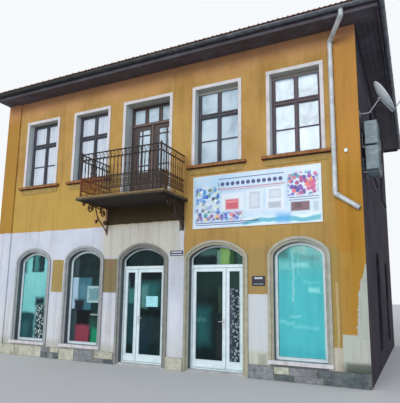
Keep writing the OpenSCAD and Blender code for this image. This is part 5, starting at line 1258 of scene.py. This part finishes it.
# Sign board: a printed vinyl banner stretched over a frame of square tube and
# screwed to the wall. Its print is a plain pattern of discs, waves and bars.
vinyl, spot = new_material("printed_vinyl_banner")
sky = add(vinyl, "TexNoise", {"Scale": 1.1, "Detail": 4, "Vector": spot})
sky = add(vinyl, "ValToRGB", {"stops": [
    (0.30, "#a6cdea"), (0.50, "#c3def2"), (0.70, "#dcecf8")], 0: sky})
look = sky
discs = add(vinyl, "TexVoronoi", {"Scale": 11, "Randomness": 0.9, "Vector": spot})
pick = add(vinyl, "SeparateXYZ", {0: discs.outputs["Color"]})
cool = add(vinyl, "ValToRGB", {"stops": [
    (0.10, "#1c5fc0"), (0.30, "#3f93d8"), (0.5, "#eef4f6"), (0.66, "#1d7f93"), (0.8, "#c9dcb8"),
    (0.95, "#1f3f6e")], 0: pick.outputs[0]})
bright = add(vinyl, "ValToRGB", {"stops": [
    (0.08, "#3a2a86"), (0.22, "#6a3fa8"), (0.36, "#2048c8"), (0.50, "#c03a78"),
    (0.62, "#27309a"), (0.76, "#14a0b4"), (0.90, "#e0557a"), (0.97, "#e8b84a")],
    0: pick.outputs[0]})
cool_mix = stained(vinyl, look, cool, discs.outputs["Distance"], 0.62, 0.56)
bright_mix = stained(vinyl, look, bright, discs.outputs["Distance"], 0.62, 0.56)
flat = add(vinyl, "SeparateXYZ", {0: spot})
flat = add(vinyl, "CombineXYZ", {0: flat.outputs[0], 1: flat.outputs[2]})
beads = add(vinyl, "TexVoronoi",
    {"voronoi_dimensions": "2D", "Scale": 8, "Randomness": 0, "Vector": flat})
row_mix = stained(vinyl, look, "#2b3578", beads.outputs["Distance"], 0.40, 0.36)
swell = add(vinyl, "TexWave",
    {"wave_type": "BANDS", "bands_direction": "Z", "Scale": 1.6, "Distortion": 5, "Detail": 2,
    "Vector": spot})
swell = add(vinyl, "ValToRGB", {"stops": [
    (0.25, "#3fb1c8"), (0.5, "#8fd3e2"), (0.8, "#e3f4f8")], 0: swell})
for x0, x1, z0, z1, edge, strength, colour in [
    (1.44, 2.08, 3.56, 4.20, 0.05, 1.0, cool_mix),
    (1.44, 2.60, 3.40, 3.58, 0.05, 0.9, bright_mix),
    (1.44, 2.10, 3.66, 3.84, 0.08, 0.5, "#cfe0ea"),
    (3.66, 4.30, 3.84, 4.34, 0.05, 1.0, bright_mix),
    (4.06, 4.26, 3.94, 4.16, 0.06, 0.8, "#e0486f"),
    (2.62, 4.36, 3.24, 3.42, 0.06, 0.9, swell),
    (3.40, 3.70, 3.26, 3.46, 0.08, 0.9, "#3fa9e6"),
    (2.10, 2.66, 3.62, 4.02, 0.05, 0.9, "#dfe9f2"),
    (2.20, 2.52, 3.64, 3.88, 0.03, 0.95, "#c93a4e"),
    (2.24, 2.48, 3.80, 3.84, 0.01, 0.8, "#ee9aa2"),
    (2.70, 3.10, 3.58, 4.06, 0.03, 0.9, "#dde8f2"),
    (2.78, 3.02, 3.62, 4.00, 0.02, 0.6, "#8e9fb4"),
    (2.81, 2.99, 3.66, 3.96, 0.02, 0.9, "#cfdcea"),
    (3.16, 3.58, 3.56, 4.08, 0.03, 0.9, "#e2ebf4"),
    (3.22, 3.50, 3.60, 3.74, 0.03, 0.6, "#7e8fa6"),
    (3.24, 3.50, 3.82, 4.02, 0.03, 0.6, "#93a4b8"),
    (3.27, 3.47, 3.85, 3.99, 0.02, 0.9, "#d3deec"),
    (2.02, 3.58, 4.190, 4.315, 0.004, 1.0, row_mix),
    (2.02, 3.58, 4.365, 4.385, 0.006, 0.9, "#2b3578"),
    (2.00, 3.60, 4.130, 4.150, 0.006, 0.9, "#c2405a"),
    (2.10, 3.50, 4.092, 4.106, 0.006, 0.7, "#c2405a"),
    (1.44, 2.86, 3.345, 3.368, 0.006, 0.9, "#20307c"),
    (1.44, 2.76, 3.300, 3.318, 0.006, 0.9, "#20307c"),
    (2.86, 3.00, 3.34, 3.38, 0.02, 0.8, "#1c2440"),
    (3.72, 4.12, 3.50, 3.70, 0.020, 0.95, "#6a2f42"),
    (3.80, 3.96, 3.56, 3.68, 0.02, 0.7, "#3f2230"),
    (3.68, 4.32, 3.785, 3.803, 0.005, 0.9, "#2f3f74"),
    (3.68, 4.32, 3.735, 3.750, 0.005, 0.9, "#2f3f74"),
    (4.20, 4.30, 3.48, 3.68, 0.03, 0.5, "#8f9fb8"),
]:
    look = painted_area(vinyl, spot, look, x0, x1, z0, z1, edge, strength, colour)
weave = add(vinyl, "TexNoise", {"Scale": 2.2, "Detail": 2, "Vector": spot})
slack = add(vinyl, "Bump", {"Strength": 0.3, "Distance": 0.02, "Height": weave})
wear(vinyl, {"Base Color": look, "Roughness": 0.4, "Normal": slack})

board = block("sign_banner", 1.362, 4.378, -4.323, -4.302, 3.234, 4.490)
edit(bpy.ops.mesh.subdivide, number_cuts=9)
for v in board.data.vertices:
    if v.co.y < -4.32:
        across, down = (v.co.x - 1.36) / 3.02, (v.co.z - 3.23) / 1.26
        v.co.y += 0.004 * math.sin(across * math.pi) * math.sin(down * math.pi)
settle(soften(board, 0.003, 1, 50), "building", "sign_vinyl", vinyl, "sign_board")

frame_paint, spot = new_material("white_enamelled_steel")
_, tone = mottled(frame_paint, spot, {"Scale": 12, "Detail": 5},
    (0.3, "#c9cfd4"), (0.7, "#e6ebee"))
wear(frame_paint, {"Base Color": tone, "Roughness": 0.35})
rim = open_frame("sign_rim", 1.360, 4.380, 3.232, 4.492, 0.022, -4.326, -4.300)
rims = [soften(rim, 0.003, 1, 50)]
for x in (1.40, 2.13, 2.87, 3.61, 4.34):
    for z in (3.262, 4.462):
        rims.append(primitive(bpy.ops.mesh.primitive_torus_add, major_radius=0.010,
            minor_radius=0.003, major_segments=16, minor_segments=6, location=(x, -4.3245, z),
            rotation=(math.pi / 2, 0, 0)))
settle(joined("sign_frame_and_eyelets", rims), "building", "sign_vinyl", frame_paint)


# Wall plates: pressed steel in dark blue enamel with a pale border and two
# pale bars, held by a screw at each corner.
enamel, spot = new_material("dark_blue_enamel")
cloud = add(enamel, "TexNoise", {"Scale": 30, "Detail": 3, "Vector": spot})
look = add(enamel, "ValToRGB", {"stops": [(0.3, "#0b0c20"), (0.7, "#141530")], 0: cloud})
for x0, x1, z0, z1 in [
    (0.795, 1.075, 2.690, 2.722), (0.780, 1.090, 2.636, 2.660),
    (2.880, 3.060, 2.062, 2.102), (2.860, 3.080, 1.950, 1.960),
]:
    look = painted_area(enamel, spot, look, x0, x1, z0, z1, 0.003, 0.92, "#c9cfe0")
wear(enamel, {"Base Color": look, "Roughness": 0.2})
plate_areas = ((0.7595, 1.1105, 2.618, 2.743), (2.822, 3.1195, 1.912, 2.127))
plates = []
for x0, x1, z0, z1 in plate_areas:
    plate = block("plate", x0, x1, -4.3055, -4.3, z0, z1)
    plate = pressed(plate, (0.010, 0), (0.003, -0.002))
    plates.append(soften(plate, 0.001, 1, 40))
settle(joined("enamel_plates", plates), "building", "plate_enamel", enamel, "wall_plates")
screws = []
for x0, x1, z0, z1 in plate_areas:
    for x in (x0 + 0.016, x1 - 0.016):
        for z in (z0 + 0.016, z1 - 0.016):
            screws.append(primitive(bpy.ops.mesh.primitive_uv_sphere_add, segments=10,
                ring_count=6, radius=0.005, location=(x, -4.3045, z)))
settle(joined("plate_screws", screws), "building", "handle_metal", satin)


# Air conditioners: two outdoor units, one over the other, on steel brackets on
# the flank. Powder-coated sheet, dulled by dust, and a wire grille over the fan's
# well, a dark disc that is partly the fan's dark plastic and partly painted shade.
coated, spot = new_material("dusty_powder_coated_sheet")
_, tone = mottled(coated, spot, {"Scale": 5, "Detail": 7, "Roughness": 0.65},
    (0.30, "#5c6e79"), (0.50, "#76878f"), (0.70, "#93a2a9"))
wear(coated, {"Base Color": tone, "Roughness": 0.5})
fan_and_well_shade, spot = new_material("dark_fan_and_painted_shade")
_, tone = mottled(fan_and_well_shade, spot, {"Scale": 18, "Detail": 4},
    (0.3, "#1d2124"), (0.7, "#33393d"))
wear(fan_and_well_shade, {"Base Color": tone, "Roughness": 0.55})
for i, name in enumerate(("lower", "upper")):
    foot = 4.320 + 0.550 * i
    mid_y, mid_z = -3.700, foot + 0.260
    case = block("case", 5.242, 5.490, -4.010, -3.230, foot + 0.012, foot + 0.516)
    lid = block("lid", 5.240, 5.496, -4.010, -3.230, foot + 0.500, foot + 0.520)
    parts = [soften(case, 0.012, 3), soften(lid, 0.006, 2)]
    for y in (-3.90, -3.34):
        parts.append(soften(block("foot", 5.24, 5.49, y - 0.02, y + 0.02, foot, foot + 0.014),
            0.003, 1))
    for k in range(9):
        z = foot + 0.09 + 0.042 * k
        parts.append(soften(block("louvre", 5.285, 5.450, -4.0145, -4.004, z, z + 0.010), 0.002,
            1))
    parts.append(primitive(bpy.ops.mesh.primitive_torus_add, major_radius=0.212,
        minor_radius=0.010, major_segments=40, minor_segments=8, location=(5.492, mid_y, mid_z),
        rotation=(0, math.pi / 2, 0)))
    parts.append(soften(block("valve_cover", 5.486, 5.508, -3.33, -3.25, foot + 0.06,
        foot + 0.30), 0.004, 2))
    settle(joined("ac_case_" + name, parts), "building", "unit_metal", coated,
        *(["ac_units"] if i == 0 else []))
    well = primitive(bpy.ops.mesh.primitive_cylinder_add, vertices=40, radius=0.205,
        depth=0.006, location=(5.492, mid_y, mid_z), rotation=(0, math.pi / 2, 0))
    well = joined("ac_fan_well_" + name, [soften(well, 0.001, 1)])
    settle(well, "building", "unit_metal", fan_and_well_shade)
    parts = []
    for k in range(1, 8):
        r = 0.026 * k + 0.012
        turns = [(r * math.cos(a * math.pi / 16), r * math.sin(a * math.pi / 16))
            for a in range(32)]
        wire = [(5.503, mid_y + c, mid_z + s) for c, s in turns]
        parts.append(round_bar("wire", wire, 0.0018, True, 0))
    for k in range(8):
        c, s = math.cos(k * math.pi / 4), math.sin(k * math.pi / 4)
        spoke = [(5.506, mid_y + r * c, mid_z + r * s) for r in (0.03, 0.21)]
        parts.append(round_bar("spoke", spoke, 0.0022, False, 0))
    settle(joined("ac_grille_" + name, parts), "building", "unit_metal", coated)

steel, spot = new_material("galvanised_bracket_steel")
_, tone = mottled(steel, spot, {"Scale": 16, "Detail": 6, "Roughness": 0.7},
    (0.30, "#5b6063"), (0.50, "#858b8e"), (0.72, "#a2a7a9"))
wear(steel, {"Base Color": tone, "Metallic": 0.6, "Roughness": 0.5})
dress(["ac_brackets", "dish_mount"], steel)


# Satellite dish: a pressed steel bowl in pale grey enamel with a rolled rim,
# bolted to a hub on a bent tube from the flank.
dish_paint, spot = new_material("pale_enamelled_dish")
_, tone = mottled(dish_paint, spot, {"Scale": 6, "Detail": 6, "Roughness": 0.6},
    (0.30, "#d9e6ee"), (0.50, "#ebf4f9"), (0.70, "#f6fafc"))
wear(dish_paint, {"Base Color": tone, "Roughness": 0.4})
dress(["satellite_dish"], dish_paint)
dish_place = (Matrix.Translation((5.610, -4.150, 5.790))
    @ Matrix.Rotation(math.radians(4), 4, "Z") @ Matrix.Rotation(math.radians(60), 4, "Y"))
rim = primitive(bpy.ops.mesh.primitive_torus_add, major_radius=0.349, minor_radius=0.006,
    major_segments=64, minor_segments=8, location=(0, 0, 0.063))
parts = [rim]
for k in range(4):
    a = math.pi / 4 + k * math.pi / 2
    parts.append(soften(primitive(bpy.ops.mesh.primitive_cylinder_add, vertices=6, radius=0.007,
        depth=0.008, location=(0.028 * math.cos(a), 0.028 * math.sin(a), 0.002)), 0.001, 1))
whole = joined("dish_rim_and_bolts", parts)
whole.data.transform(dish_place)
settle(whole, "building", "unit_metal", dish_paint)


# Junction box: a small white plastic box with a lid, screwed to the wall.
cover = block("junction_box_lid", 4.870, 4.930, -4.385, -4.340, 4.650, 4.720)
cover = pressed(cover, (0.005, 0), (0.002, -0.002))
settle(soften(cover, 0.003, 2, 50), "building", "pvc", pvc, "junction_box")
